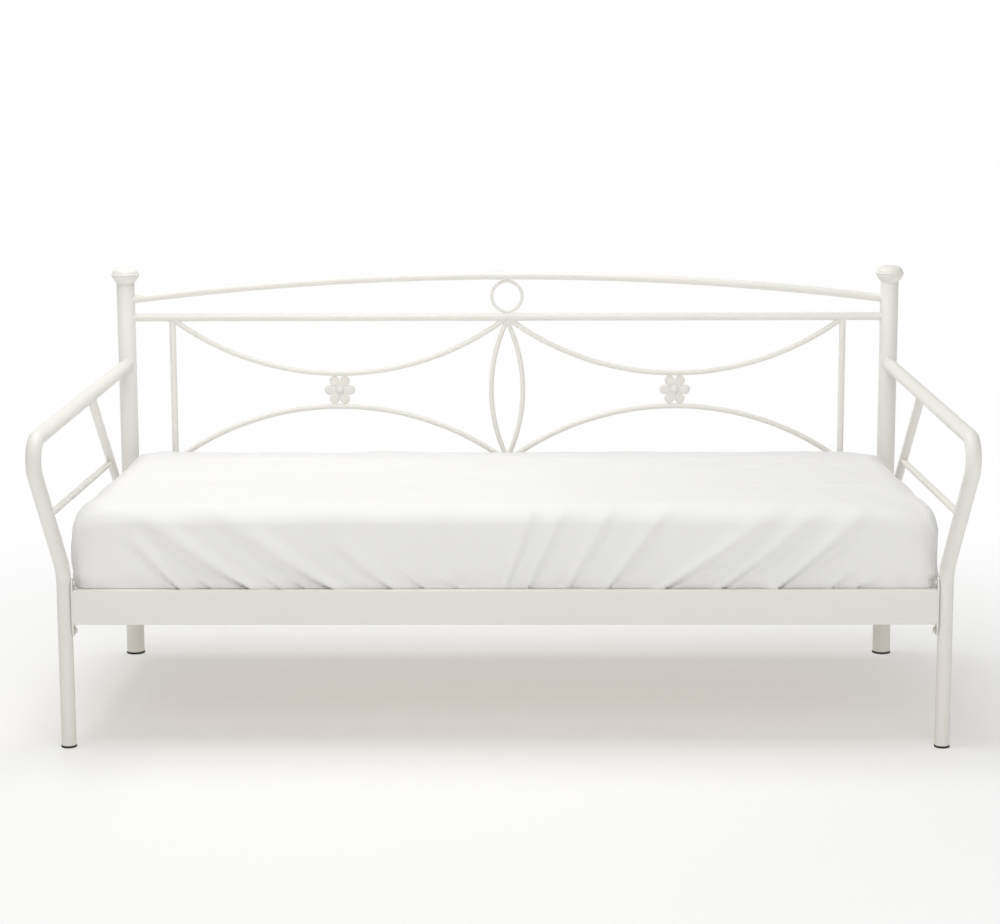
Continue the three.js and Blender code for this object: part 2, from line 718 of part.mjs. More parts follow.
function addSlats() {
  const front = frontFace + RAIL_SHEET + SLAT_END_CLEARANCE;
  const rear = rearFace - RAIL_SHEET - SLAT_END_CLEARANCE;
  const reach = legPlateFace - PLATE_THICKNESS - SLAT_MARGIN - SLAT_WIDTH / 2;
  const half = SLAT_WIDTH / 2;
  const c = SLAT_CHAMFER;
  const section = [
    [-half + c, slatBottom],
    [half - c, slatBottom],
    [half, slatBottom + c],
    [half, slatTop - c],
    [half - c, slatTop],
    [-half + c, slatTop],
    [-half, slatTop - c],
    [-half, slatBottom + c],
  ].map(([x, z]) => new THREE.Vector2(x, z));
  for (let i = 0; i < SLAT_COUNT; i += 1) {
    const slat = new THREE.ExtrudeGeometry(new THREE.Shape(section), {
      depth: rear - front,
      bevelEnabled: false,
    });
    slat.rotateX(Math.PI / 2);
    const mesh = add(`slat_${String(i + 1).padStart(2, "0")}`, slat, beech);
    mesh.position.set(-reach + (2 * reach * i) / (SLAT_COUNT - 1), rear, 0);
  }
}

// A block with rounded upright corners and rounded edges above and below.
function softBlock(halfX, halfY, low, high, corner, edge) {
  const shape = new THREE.Shape();
  shape.moveTo(halfX, -halfY + corner);
  shape.lineTo(halfX, halfY - corner);
  shape.absarc(halfX - corner, halfY - corner, corner, 0, Math.PI / 2, false);
  shape.lineTo(-halfX + corner, halfY);
  shape.absarc(-halfX + corner, halfY - corner, corner, Math.PI / 2, Math.PI, false);
  shape.lineTo(-halfX, -halfY + corner);
  shape.absarc(-halfX + corner, -halfY + corner, corner, Math.PI, 1.5 * Math.PI, false);
  shape.lineTo(halfX - corner, -halfY);
  shape.absarc(halfX - corner, -halfY + corner, corner, 1.5 * Math.PI, 2 * Math.PI, false);
  const block = new THREE.ExtrudeGeometry(shape, {
    depth: high - low - 2 * edge,
    bevelEnabled: true,
    bevelThickness: edge,
    bevelSize: edge,
    bevelOffset: -edge,
    bevelSegments: 3,
    curveSegments: 4,
  });
  return block.translate(0, 0, low + edge);
}

function addMattressAndSheet() {
  const front = frontFace + RAIL_DEPTH + MATTRESS_FRONT_CLEARANCE;
  const rear = postY - POST_RADIUS - MATTRESS_REAR_CLEARANCE;
  const halfX = halfLength - ARM_RADIUS - MATTRESS_END_CLEARANCE;
  const halfY = (rear - front) / 2;
  const middleY = (rear + front) / 2;
  const top = mattressBottom + MATTRESS_HEIGHT;
  const mattress = softBlock(halfX, halfY, mattressBottom, top, MATTRESS_CORNER, MATTRESS_EDGE);
  add("mattress", mattress.translate(0, middleY, 0), ticking);

  const below = mattressBottom - 2 * MATTRESS_EDGE;
  const grown = (grow) =>
    softBlock(halfX + grow, halfY + grow, below, top + grow, MATTRESS_CORNER + grow, MATTRESS_EDGE + grow);
  const hem = mattressBottom + SHEET_HEM;
  const aside = MATTRESS_EDGE;
  const underside = boxBetween(
    at(-halfX - aside, -halfY - aside, below - aside),
    at(halfX + aside, halfY + aside, hem),
  );
  const sheet = cut(grown(GAP + SHEET_THICKNESS), [grown(GAP), underside]);
  add("fitted_sheet", sheet.translate(0, middleY, 0), cotton);
}

// ---------------------------------------------------------------- assembly

addBackRails();
addRing();
addBedRail("front", frontFace, 1, legY, legPlateFace);
addBedRail("rear", rearFace, -1, postY, postPlateFace);
for (const [side, sign] of SIDES) {
  addPost(side, sign);
  addCap(side, sign);
  addGlide(`rear_glide_${side}`, sign * halfLength, postY, POST_RADIUS, POST_WALL, SIDES_LARGE);
  addGlide(`front_glide_${side}`, sign * halfLength, legY, ARM_RADIUS, ARM_WALL, SIDES_MEDIUM);
  addBackBay(side, sign);
  addFlower(side, sign);
  addSideFrame(side, sign);
}
addSlats();
addMattressAndSheet();

export default daybed;
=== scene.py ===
"""A steel daybed with a scrolled back, wooden slats, a mattress and its fitted sheet.

Metres, in the part's own frame: +X to the right of someone who faces the bed, +Y towards the back, +Z up.
Every shape is worked out as a surface of two parameters, or as a section carried along a line.
"""

import math

import bmesh
import bpy
import numpy as np
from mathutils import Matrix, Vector


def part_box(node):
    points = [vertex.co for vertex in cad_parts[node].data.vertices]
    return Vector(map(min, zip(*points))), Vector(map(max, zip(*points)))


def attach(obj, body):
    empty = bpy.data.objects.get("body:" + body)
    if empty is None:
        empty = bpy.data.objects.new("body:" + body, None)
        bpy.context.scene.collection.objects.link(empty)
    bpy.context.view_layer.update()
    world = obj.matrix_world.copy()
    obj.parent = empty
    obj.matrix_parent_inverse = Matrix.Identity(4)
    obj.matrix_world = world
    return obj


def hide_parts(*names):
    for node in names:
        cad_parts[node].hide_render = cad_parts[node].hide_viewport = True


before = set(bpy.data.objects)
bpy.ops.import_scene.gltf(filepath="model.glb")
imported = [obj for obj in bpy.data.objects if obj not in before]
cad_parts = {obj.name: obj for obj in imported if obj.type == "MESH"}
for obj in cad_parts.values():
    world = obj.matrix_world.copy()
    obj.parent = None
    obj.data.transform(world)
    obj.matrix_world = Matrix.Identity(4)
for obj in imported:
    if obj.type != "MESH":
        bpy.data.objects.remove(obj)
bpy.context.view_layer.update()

# ---------------------------------------------------------------- sizes that the part gives

X, Y, Z = np.eye(3)
SIDES = (("left", -1.0), ("right", 1.0))
ENDS = (("front", -1.0), ("rear", 1.0))

POST_LOW, POST_HIGH = (np.array(corner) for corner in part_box("rear_post_right"))
HALF_LENGTH = float(POST_LOW[0] + POST_HIGH[0]) / 2
POST_Y = float(POST_LOW[1] + POST_HIGH[1]) / 2
POST_RADIUS = float(POST_HIGH[0] - POST_LOW[0]) / 2
TUBE_FOOT = float(POST_LOW[2])
POST_TOP = float(POST_HIGH[2])
BED_DEPTH = 0.940  # from the legs' axis to the posts' axis
LEG_Y = POST_Y - BED_DEPTH

CAP_RIM_RADIUS = 0.038
CAP_CONE_HEIGHT = 0.024
CAP_RIM_HEIGHT = 0.005
CAP_DOME_HEIGHT = 0.019
GLIDE_HEIGHT = 0.005
GLIDE_LIP = 0.001

ARM_RADIUS = 0.0175
ARM_HEIGHT = 0.806
KNEE_HEIGHT = 0.425
KNEE_RADIUS = 0.090
ELBOW_RADIUS = 0.048
ELBOW = np.array([0.0, -0.68640, 0.77230])
STRUT_RADIUS = 0.011
STRUT_TOP = np.array([0.0, 0.05590, 0.79173])
STRUT_FOOT = np.array([0.0, 0.57690, 0.36450])
SIDE_BAR_RADIUS = 0.008
SIDE_BAR_HEIGHT = 0.583
END_RAIL_TOP = 0.3645
END_RAIL_HEIGHT = 0.050
END_RAIL_WIDTH = 0.025
END_RAIL_CORNER = 0.0035

BACK_RAIL_RADIUS = 0.0105
STRAIGHT_RAIL_HEIGHT = 0.934
LOWER_RAIL_HEIGHT = 0.5365
ARCH_END_HEIGHT = 0.981
ARCH_RISE = 0.065
RING_BAR_RADIUS = 0.0042
UPRIGHT_X = HALF_LENGTH - 0.125
UPRIGHT_RADIUS = 0.0085
ARC_RADIUS = 0.007
ARC_DROP = 0.143
ARC_START = 0.012
LEAF_BAR_RADIUS = 0.0064
LEAF_HALF_WIDTH = 0.043

RAIL_TOP = 0.381
RAIL_HEIGHT = 0.083
RAIL_DEPTH = 0.026
RAIL_SHEET = 0.002
RAIL_LIP = 0.008
SHELF_DEPTH = 0.044
SHELF_TOP = 0.3477
PLATE_THICKNESS = 0.004
PLATE_DEPTH = 0.028
PLATE_REACH = 0.028
PLATE_BOLT_INSET = 0.013
BOLT_HEAD_RADIUS = 0.007
BOLT_HEAD_HEIGHT = 0.005
SLAT_COUNT = 10
GAP = 0.0003  # between pieces that touch

# ---------------------------------------------------------------- surfaces

NO_TRIANGLES = np.empty((0, 3), int)

def unit(vectors):
    """Each vector divided by its own length."""
    vectors = np.asarray(vectors, float)
    return vectors / np.linalg.norm(vectors, axis=-1, keepdims=True)


def smooth(low, high, value):
    """Rises from 0 at `low` to 1 at `high` as 3t^2 - 2t^3."""
    t = np.clip((np.asarray(value, float) - low) / (high - low), 0.0, 1.0)
    return t * t * (3.0 - 2.0 * t)


def grid_quads(rows, columns, wrap_rows=False, wrap_columns=True):
    """Quads between neighbouring points of a grid, joined round where it wraps."""
    row = np.arange(rows if wrap_rows else rows - 1)
    column = np.arange(columns if wrap_columns else columns - 1)
    row, column = np.meshgrid(row, column, indexing="ij")
    next_row, next_column = (row + 1) % rows, (column + 1) % columns
    corners = (
        row * columns + column,
        row * columns + next_column,
        next_row * columns + next_column,
        next_row * columns + column,
    )
    return np.stack(corners, -1).reshape(-1, 4)


def grid_rim(rows, columns):
    """The points along a grid's edge, in order, once round from its first corner."""
    return np.concatenate(
        [
            np.arange(columns - 1),
            np.arange(rows - 1) * columns + columns - 1,
            (rows - 1) * columns + np.arange(columns - 1, 0, -1),
            np.arange(rows - 1, 0, -1) * columns,
        ]
    )


def closed_tube(points):
    """A shell from rings of points, its two ends closed by fans to the middle of the end rings."""
    rows, columns = points.shape[:2]
    middles = points[[0, -1]].mean(1)
    vertices = np.concatenate([points.reshape(-1, 3), middles])
    here = np.arange(columns)
    after = (here + 1) % columns
    first, last = rows * columns, rows * columns + 1
    start = np.stack([np.full(columns, first), after, here], -1)
    base = (rows - 1) * columns
    end = np.stack([np.full(columns, last), base + here, base + after], -1)
    return vertices, grid_quads(rows, columns), np.concatenate([start, end])


def closed_ring(points):
    """A shell that closes on itself along its rows and round its columns."""
    rows, columns = points.shape[:2]
    return points.reshape(-1, 3), grid_quads(rows, columns, wrap_rows=True), NO_TRIANGLES


def round_section(across, up, radius, count):
    """Points round a circle, as offsets from its middle."""
    turn = np.arange(count) * 2 * math.pi / count
    return radius * (np.cos(turn)[:, None] * across + np.sin(turn)[:, None] * up)


def swept_bar(points, tangents, radii, side, count=40):
    """Round bar: at each station a circle square to the path, of that station's radius.
    `side` is the direction square to the plane that the path lies in."""
    points, tangents = np.asarray(points, float), unit(tangents)
    radii = np.broadcast_to(np.asarray(radii, float), len(points))
    turn = np.arange(count) * 2 * math.pi / count
    up = np.cross(tangents, side)
    ring = (
        np.cos(turn)[None, :, None] * np.asarray(side)[None, None, :]
        + np.sin(turn)[None, :, None] * up[:, None, :]
    )
    return closed_tube(points[:, None, :] + radii[:, None, None] * ring)


def turned(base, axis, profile, side, count=48):
    """A turned piece: rings of radius r at height h above `base`, along `axis`, for each (h, r)."""
    profile = np.asarray(profile, float)
    points = base + profile[:, :1] * axis
    return swept_bar(points, np.repeat(axis[None], len(profile), 0), profile[:, 1], side, count)


def bent_line(corners, radii, steps):
    """Straight runs between corners, each inner corner replaced by an arc that touches both."""
    corners = [np.asarray(corner, float) for corner in corners]
    points, tangents = [corners[0][None]], [unit(corners[1] - corners[0])[None]]
    for before, corner, after, radius in zip(corners, corners[1:], corners[2:], radii):
        into, out = unit(corner - before), unit(after - corner)
        turn = math.acos(float(into @ out))
        inward = unit(out - (out @ into) * into)
        centre = corner - radius * math.tan(turn / 2) * into + radius * inward
        angle = np.linspace(0.0, turn, steps)[:, None]
        points.append(centre + radius * (np.sin(angle) * into - np.cos(angle) * inward))
        tangents.append(np.cos(angle) * into + np.sin(angle) * inward)
    points.append(corners[-1][None])
    tangents.append(unit(corners[-1] - corners[-2])[None])
    return np.concatenate(points), np.concatenate(tangents)


def arc_line(start, end, rise, bulge, steps, overrun=0.0):
    """Circle arc from start to end whose middle stands `rise` off the chord towards `bulge`,
    carried on along the circle by `overrun` past both ends."""
    start, end = np.asarray(start, float), np.asarray(end, float)
    half = np.linalg.norm(end - start) / 2
    along = unit(end - start)
    radius = (half * half + rise * rise) / (2 * rise)
    centre = (start + end) / 2 + (rise - radius) * bulge
    sweep = math.asin(half / radius) + overrun / radius
    angle = np.linspace(-sweep, sweep, steps)[:, None]
    points = centre + radius * (np.sin(angle) * along + np.cos(angle) * bulge)
    return points, np.cos(angle) * along - np.sin(angle) * bulge


def round_bar_face(point, axis, radius):
    """A neighbour's round surface, for a weld."""
    return ("round", np.asarray(point, float), unit(axis), radius)


def flat_face(point, normal):
    """A neighbour's flat surface, for a weld."""
    return ("flat", np.asarray(point, float), unit(normal), 0.0)


def reach_to(face, starts, direction):
    """How far each line start + s * direction goes before it meets the face. On a flat face that is where
    it crosses the plane; on a round one, where its distance from the axis equals the radius."""
    kind, point, axis, radius = face
    offset = starts - point
    if kind == "flat":
        return -(offset @ axis) / (direction @ axis)
    offset = offset - (offset @ axis)[:, None] * axis
    run = direction - (direction @ axis) * axis
    a, b = run @ run, 2 * offset @ run
    c = (offset**2).sum(1) - radius**2
    return (-b - np.sqrt(np.clip(b * b - 4 * a * c, 0.0, None))) / (2 * a)


WELD_RIPPLE = 0.0042  # from one ripple of a weld to the next
WELD_BEAD = 0.0017  # radius of a usual bead
THIN_BEAD = 0.0014  # and of one on a thin bar
RIPPLE_DEPTH = 0.12  # how much a bead swells and shrinks


def weld(centre, direction, section, faces, bead=WELD_BEAD):
    """Weld bead round a bar's end: the bar's lines are followed to the first face they meet, and a small
    circle, swelling and shrinking in ripples, is carried round the closed line of those points."""
    direction = unit(direction)
    starts = np.asarray(centre, float) + section
    reach = np.min([reach_to(face, starts, direction) for face in faces], axis=0)
    line = starts + reach[:, None] * direction
    steps = np.linalg.norm(np.roll(line, -1, 0) - line, axis=1)
    length = float(steps.sum())
    place = (np.cumsum(steps) - steps) / length
    tangent = unit(np.roll(line, -1, 0) - np.roll(line, 1, 0))
    out = section - (section * tangent).sum(1)[:, None] * tangent
    out = unit(out)
    up = np.cross(tangent, out)
    turn = np.arange(10) * 2 * math.pi / 10
    ripples = max(6, round(length / WELD_RIPPLE))
    size = bead * (1 + RIPPLE_DEPTH * np.sin(2 * math.pi * place * ripples))
    ring = np.cos(turn)[None, :, None] * out[:, None] + np.sin(turn)[None, :, None] * up[:, None]
    return closed_ring(line[:, None] + size[:, None, None] * ring)


def bar_weld(points, tangents, radius, side, at_end, faces, setback=0.03, count=72, bead=WELD_BEAD):
    """The weld at the start or the end of a round bar."""
    tangent = unit(tangents[-1] if at_end else -tangents[0])
    centre = (points[-1] if at_end else points[0]) - setback * tangent
    section = round_section(np.asarray(side), np.cross(tangent, side), radius, count)
    return weld(centre, tangent, section, faces, bead)


def weld_spot(centre, axis, side, length, radius):
    """A drop of weld: circles along a short line, their radius following half an ellipse."""
    share = np.cos(np.linspace(math.pi, 0.0, 13))
    height = share * length / 2
    size = radius * np.sqrt(np.clip(1 - share**2, 0.02, 1))
    return turned(np.asarray(centre, float), axis, np.stack([height, size], 1), side, 16)


def rounded_line(corners, radii, steps=5, hold=0.0006):
    """A line in a plane through the corners, each inner one rounded to its radius, with a point kept close
    on both sides of every arc so that the flats stay flat."""
    corners = np.asarray(corners, float)
    points = [corners[:1]]
    for before, corner, after, radius in zip(corners, corners[1:], corners[2:], radii):
        into, out = unit(corner - before), unit(after - corner)
        turn = math.acos(float(np.clip(into @ out, -1, 1)))
        inward = unit(out - (out @ into) * into)
        start = corner - radius * math.tan(turn / 2) * into
        angle = np.linspace(0.0, turn, steps)[:, None]
        arc = start + radius * (np.sin(angle) * into + (1 - np.cos(angle)) * inward)
        points += [(start - hold * into)[None], arc, (arc[-1] + hold * out)[None]]
    points.append(corners[-1:])
    return np.concatenate(points)


def rounded_rectangle(width, height, corner, per_corner=6, hold=0.0006):
    """Points anticlockwise round a rectangle with round corners, with close points beside each arc."""
    points = []
    for quarter, (right, top) in enumerate(((1, -1), (1, 1), (-1, 1), (-1, -1))):
        middle = np.array([right * (width / 2 - corner), top * (height / 2 - corner)])
        angle = math.pi / 2 * (quarter - 1 + np.linspace(0.0, 1.0, per_corner))
        arc = middle + corner * np.stack([np.cos(angle), np.sin(angle)], 1)
        before = np.array([-math.sin(angle[0]), math.cos(angle[0])])
        after = np.array([-math.sin(angle[-1]), math.cos(angle[-1])])
        points += [(arc[0] - hold * before)[None], arc, (arc[-1] + hold * after)[None]]
    return np.concatenate(points)


def even_loop(loop, count):
    """The same closed line with `count` points at even distances."""
    closed = np.concatenate([loop, loop[:1]])
    place = np.concatenate([[0.0], np.cumsum(np.linalg.norm(np.diff(closed, axis=0), axis=1))])
    wanted = np.linspace(0.0, place[-1], count, endpoint=False)
    return np.stack([np.interp(wanted, place, closed[:, axis]) for axis in range(loop.shape[1])], 1)


def edged_bar(section, across, up, start, end, edge):
    """A bar of one section from start to end, whose section shrinks by a quarter circle of radius `edge`
    at both ends, as on sawn and sanded wood."""
    section = np.asarray(section, float)
    span = np.abs(section).max(0)
    along = unit(end - start)
    length = float(np.linalg.norm(end - start))
    angle = np.linspace(0.0, math.pi / 2, 5)
    inset, place = edge * (1 - np.sin(angle)), edge * (1 - np.cos(angle))
    places = np.concatenate([place, [edge * 1.5], [length - edge * 1.5], length - place[::-1]])
    insets = np.concatenate([inset, [0, 0], inset[::-1]])
    shrink = 1 - insets[:, None] / span[None, :]
    flat = section[None] * shrink[:, None, :]
    points = start + places[:, None, None] * along + flat[..., :1] * across + flat[..., 1:] * up
    return closed_tube(points)


def folded_steel(line, thickness, place, across, span):
    """Sheet steel folded along a line in a plane: the line is moved half a thickness to each side, the two
    copies are joined into one loop, and the loop is carried from one end to the other."""
    step = np.diff(line, axis=0)
    normal = unit(np.stack([-step[:, 1], step[:, 0]], 1))
    mean = np.concatenate([normal[:1], normal[:-1] + normal[1:], normal[-1:]])
    mean = unit(mean)
    first = np.concatenate([normal[:1], normal])
    mitre = 1 / np.clip((mean * first).sum(1), 0.5, 1)
    offset = mean * mitre[:, None] * thickness / 2
    loop = np.concatenate([line + offset, (line - offset)[::-1]])
    count, half = len(loop), len(line)
    stations = np.array([-span, -span + 0.001, span - 0.001, span])
    flat = loop[:, 0, None] * place[0] + loop[:, 1, None] * place[1]
    points = stations[:, None, None] * across + flat[None]
    here = np.arange(half - 1)
    end = np.stack([here, here + 1, count - 2 - here, count - 1 - here], -1)
    quads = np.concatenate([grid_quads(4, count), end, end[:, ::-1] + 3 * count])
    return points.reshape(-1, 3), quads, NO_TRIANGLES


# ---------------------------------------------------------------- making pieces

WELDED_PIECES_SHARP = math.radians(42)


def mesh_of(name, shells):
    """One mesh from several shells, written as whole arrays."""
    vertices, corners, totals, start = [], [], [], 0
    for points, quads, triangles in shells:
        vertices.append(points)
        corners += [(quads + start).ravel(), (triangles + start).ravel()]
        totals += [np.full(len(quads), 4), np.full(len(triangles), 3)]
        start += len(points)
    vertices, corners = np.concatenate(vertices), np.concatenate(corners)
    totals = np.concatenate(totals)
    mesh = bpy.data.meshes.new(name)
    mesh.vertices.add(len(vertices))
    mesh.vertices.foreach_set("co", vertices.astype(np.float32).ravel())
    mesh.loops.add(len(corners))
    mesh.loops.foreach_set("vertex_index", corners.astype(np.int32))
    mesh.polygons.add(len(totals))
    starts = (np.cumsum(totals) - totals).astype(np.int32)
    mesh.polygons.foreach_set("loop_start", starts)
    mesh.polygons.foreach_set("use_smooth", np.ones(len(totals), bool))
    mesh.update(calc_edges=True)
    mesh.validate()
    return mesh


def piece(name, shells, finish, replaces, body="frame", sharp=WELDED_PIECES_SHARP):
    """Puts a finished mesh into the scene, as a piece that rides on its body."""
    mesh = mesh_of(name, shells)
    if sharp:
        mesh.set_sharp_from_angle(angle=sharp)
    mesh.materials.append(finish)
    made = bpy.data.objects.new(name, mesh)
    bpy.context.scene.collection.objects.link(made)
    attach(made, body)
    if replaces:
        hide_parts(*replaces)
    return made


def soft_piece(name, shell, finish, slot, *nodes):
    """A piece of cloth, smooth all over, that rides on the mattress."""
    return piece(name, [shell], finish, nodes, "mattress", sharp=None)


def outward(made):
    """Turns every face outwards."""
    work = bmesh.new()
    work.from_mesh(made.data)
    bmesh.ops.recalc_face_normals(work, faces=work.faces)
    work.to_mesh(made.data)
    work.free()


def bevelled(made, width, segments=2):
    """Breaks the sharp edges of a piece."""
    bevel = made.modifiers.new("broken_edges", "BEVEL")
    bevel.width = width
    bevel.segments = segments
    bevel.limit_method = "ANGLE"
    bevel.angle_limit = math.radians(45)


# ---------------------------------------------------------------- finishes


def shader_node(tree, kind, sockets=(), **settings):
    """A node of one kind, with its settings and the values of its sockets, given as (name, value)."""
    node = tree.nodes.new("ShaderNode" + kind)
    for setting, value in settings.items():
        setattr(node, setting, value)
    for socket, value in sockets:
        node.inputs[socket].default_value = value
    return node


def bare_tree(owner):
    """The empty node tree of a material or a world."""
    owner.use_nodes = True
    owner.node_tree.nodes.clear()
    return owner.node_tree


class Finish:
    """A procedural material: nodes are made by short calls, and all of them read Object coordinates unless
    told otherwise."""

    def __init__(self, name, **constants):
        self.material = bpy.data.materials.new(name)
        self.tree = bare_tree(self.material)
        sockets = [(socket.replace("_", " "), value) for socket, value in constants.items()]
        self.surface = shader_node(self.tree, "BsdfPrincipled", sockets)
        output = shader_node(self.tree, "OutputMaterial")
        self.tree.links.new(self.surface.outputs["BSDF"], output.inputs["Surface"])
        self.coords = shader_node(self.tree, "TexCoord").outputs["Object"]

    def feed(self, source, socket):
        """Links a socket, or sets it to a value."""
        if isinstance(source, (int, float, tuple)):
            socket.default_value = source
        else:
            self.tree.links.new(source, socket)

    def stretched(self, scale, coords=None):
        """Coordinates stretched along each axis."""
        mapping = shader_node(self.tree, "Mapping", [("Scale", scale)])
        self.feed(coords or self.coords, mapping.inputs["Vector"])
        return mapping.outputs["Vector"]

    def noise(self, scale, detail=3.0, roughness=0.5, coords=None, distortion=0.0):
        """Cloudy noise from 0 to 1."""
        sockets = [("Scale", scale), ("Detail", detail), ("Roughness", roughness), ("Distortion", distortion)]
        noise = shader_node(self.tree, "TexNoise", sockets)
        self.feed(coords or self.coords, noise.inputs["Vector"])
        return noise.outputs["Fac"]

    def wave(self, scale, direction, coords=None, distortion=0.0):
        """Parallel ridges from 0 to 1."""
        sockets = [("Scale", scale), ("Distortion", distortion), ("Detail", 1.0), ("Detail Scale", 1.0)]
        wave = shader_node(self.tree, "TexWave", sockets, bands_direction=direction, wave_profile="SIN")
        self.feed(coords or self.coords, wave.inputs["Vector"])
        return wave.outputs["Fac"]

    def combined(self, first, second, kind="ADD"):
        """One number from two, by the named sum."""
        node = shader_node(self.tree, "Math", operation=kind)
        self.feed(first, node.inputs[0])
        self.feed(second, node.inputs[1])
        return node.outputs[0]

    def range(self, source, low, high, start=0.3, end=0.7):
        """Stretches a number from start..end to low..high."""
        sockets = [("From Min", start), ("From Max", end), ("To Min", low), ("To Max", high)]
        node = shader_node(self.tree, "MapRange", sockets)
        self.feed(source, node.inputs["Value"])
        return node.outputs["Result"]

    def blend(self, share, first, second):
        """A colour between two."""
        node = shader_node(self.tree, "Mix", data_type="RGBA")
        self.feed(share, node.inputs["Factor"])
        self.feed((*first, 1.0) if isinstance(first, tuple) else first, node.inputs["A"])
        self.feed((*second, 1.0) if isinstance(second, tuple) else second, node.inputs["B"])
        return node.outputs["Result"]

    def colour(self, source):
        self.feed(source, self.surface.inputs["Base Color"])

    def roughness(self, source):
        self.feed(source, self.surface.inputs["Roughness"])

    def bump(self, height, distance, strength=1.0, under=None):
        """Relief of the given height in metres, on top of another if there is one."""
        node = shader_node(self.tree, "Bump", [("Strength", strength), ("Distance", distance)])
        self.feed(height, node.inputs["Height"])
        if under is not None:
            self.feed(under, node.inputs["Normal"])
        self.feed(node.outputs["Normal"], self.surface.inputs["Normal"])
        return node.outputs["Normal"]


WHITE_COTTON = (0.868, 0.862, 0.854)
SHADED_COTTON = (0.838, 0.832, 0.824)


def powder_coat(name, pale, deep, gloss):
    """Satin cream powder coat: a cloudy shift between two near creams, fine orange peel over a slower
    unevenness, and a roughness that wanders a little."""
    finish = Finish(name, Coat_Weight=0.05, Coat_Roughness=0.30, IOR=1.5, Specular_IOR_Level=0.22)
    cloud = finish.noise(3.1, 4.0, 0.55)
    speck = finish.noise(240.0, 2.0, 0.6)
    share = finish.combined(finish.range(cloud, 0.0, 0.75), finish.range(speck, 0.0, 0.25))
    finish.colour(finish.blend(share, pale, deep))
    finish.roughness(finish.range(finish.noise(38.0, 3.0), gloss - 0.05, gloss + 0.07))
    slow = finish.bump(finish.noise(60.0, 1.0), 0.00005, 0.10)
    finish.bump(finish.noise(700.0, 1.0, 0.4), 0.00003, 0.25, slow)
    return finish.material


def black_nylon():
    """Moulded black plastic with a fine spark-eroded grain."""
    finish = Finish("black_nylon", IOR=1.46, Specular_IOR_Level=0.4)
    finish.colour(finish.blend(finish.noise(90.0), (0.016, 0.016, 0.017), (0.035, 0.034, 0.033)))
    finish.roughness(finish.range(finish.noise(300.0), 0.48, 0.68))
    finish.bump(finish.noise(900.0, 2.0), 0.00008, 0.6)
    return finish.material


def bright_zinc():
    """Zinc-plated steel: a cloudy passivated tint and fine turning marks."""
    finish = Finish("bright_zinc", Metallic=0.9)
    finish.colour(finish.blend(finish.noise(60.0, 4.0), (0.60, 0.59, 0.55), (0.74, 0.73, 0.70)))
    finish.roughness(finish.range(finish.noise(260.0, 3.0), 0.26, 0.46))
    finish.bump(finish.noise(1500.0, 2.0), 0.00004, 0.5)
    return finish.material


def sanded_beech():
    """Beech: long growth streaks along the slat, short dark flecks, and open grain in relief."""
    finish = Finish("sanded_beech", IOR=1.45, Specular_IOR_Level=0.3)
    streaks = finish.noise(1.0, 6.0, 0.6, finish.stretched((46.0, 1.6, 46.0)), 0.6)
    fibres = finish.noise(1.0, 4.0, 0.7, finish.stretched((420.0, 9.0, 420.0)))
    flecks = finish.noise(1.0, 1.0, 0.5, finish.stretched((900.0, 130.0, 900.0)))
    plank = finish.noise(4.6, 0.0, 0.5, finish.stretched((1.0, 0.02, 1.0)))
    growth = finish.range(streaks, 0.0, 1.0, 0.3, 0.72)
    wood = finish.blend(growth, (0.66, 0.46, 0.27), (0.50, 0.32, 0.17))
    wood = finish.blend(finish.range(fibres, 0.0, 0.5, 0.45, 0.8), wood, (0.38, 0.23, 0.12))
    wood = finish.blend(finish.range(flecks, 0.0, 0.55, 0.62, 0.72), wood, (0.27, 0.15, 0.08))
    wood = finish.blend(finish.range(plank, 0.0, 0.35), wood, (0.72, 0.55, 0.36))
    finish.colour(wood)
    finish.roughness(finish.range(fibres, 0.52, 0.70))
    pores = finish.range(flecks, 0.0, 0.6, 0.62, 0.72)
    finish.bump(finish.combined(fibres, pores, "SUBTRACT"), 0.00018, 0.5)
    return finish.material


def knitted_ticking():
    """Mattress cover: a fine diagonal twill in off-white with a faint grey fleck."""
    finish = Finish("knitted_ticking", Sheen_Weight=0.15, Sheen_Roughness=0.5, Specular_IOR_Level=0.15)
    twill = finish.wave(160.0, "DIAGONAL", distortion=0.4)
    cross = finish.wave(420.0, "X")
    fleck = finish.range(finish.noise(25.0), 0.0, 0.3)
    share = finish.combined(finish.range(twill, 0.0, 0.6, 0.2, 0.8), fleck)
    finish.colour(finish.blend(share, (0.80, 0.79, 0.75), (0.70, 0.69, 0.65)))
    finish.roughness(finish.range(finish.noise(160.0), 0.82, 0.95))
    coarse = finish.bump(twill, 0.0004, 0.5)
    finish.bump(cross, 0.00015, 0.4, coarse)
    return finish.material


def cotton_percale():
    """White percale: a plain weave of crossing threads that follows the cloth, uneven yarns, slight creasing
    left by folding, and a faint bloom."""
    finish = Finish("cotton_percale", Sheen_Weight=0.12, Sheen_Roughness=0.45, Specular_IOR_Level=0.12)
    cut = shader_node(finish.tree, "UVMap", uv_map="cut").outputs["UV"]
    warp = finish.wave(380.0, "X", cut, 0.6)
    weft = finish.wave(360.0, "Y", cut, 0.6)
    yarn = finish.noise(1.0, 3.0, 0.6, finish.stretched((900.0, 40.0, 1.0), cut))
    tint = finish.combined(finish.range(finish.noise(2.2), 0.0, 0.7), finish.range(yarn, 0.0, 0.3))
    finish.colour(finish.blend(tint, WHITE_COTTON, SHADED_COTTON))
    finish.roughness(finish.range(finish.noise(120.0), 0.80, 0.95))
    rumple = finish.bump(finish.noise(26.0, 5.0, 0.55, cut), 0.0016, 0.35)
    finish.bump(finish.combined(warp, weft, "MULTIPLY"), 0.00012, 0.5, rumple)
    return finish.material


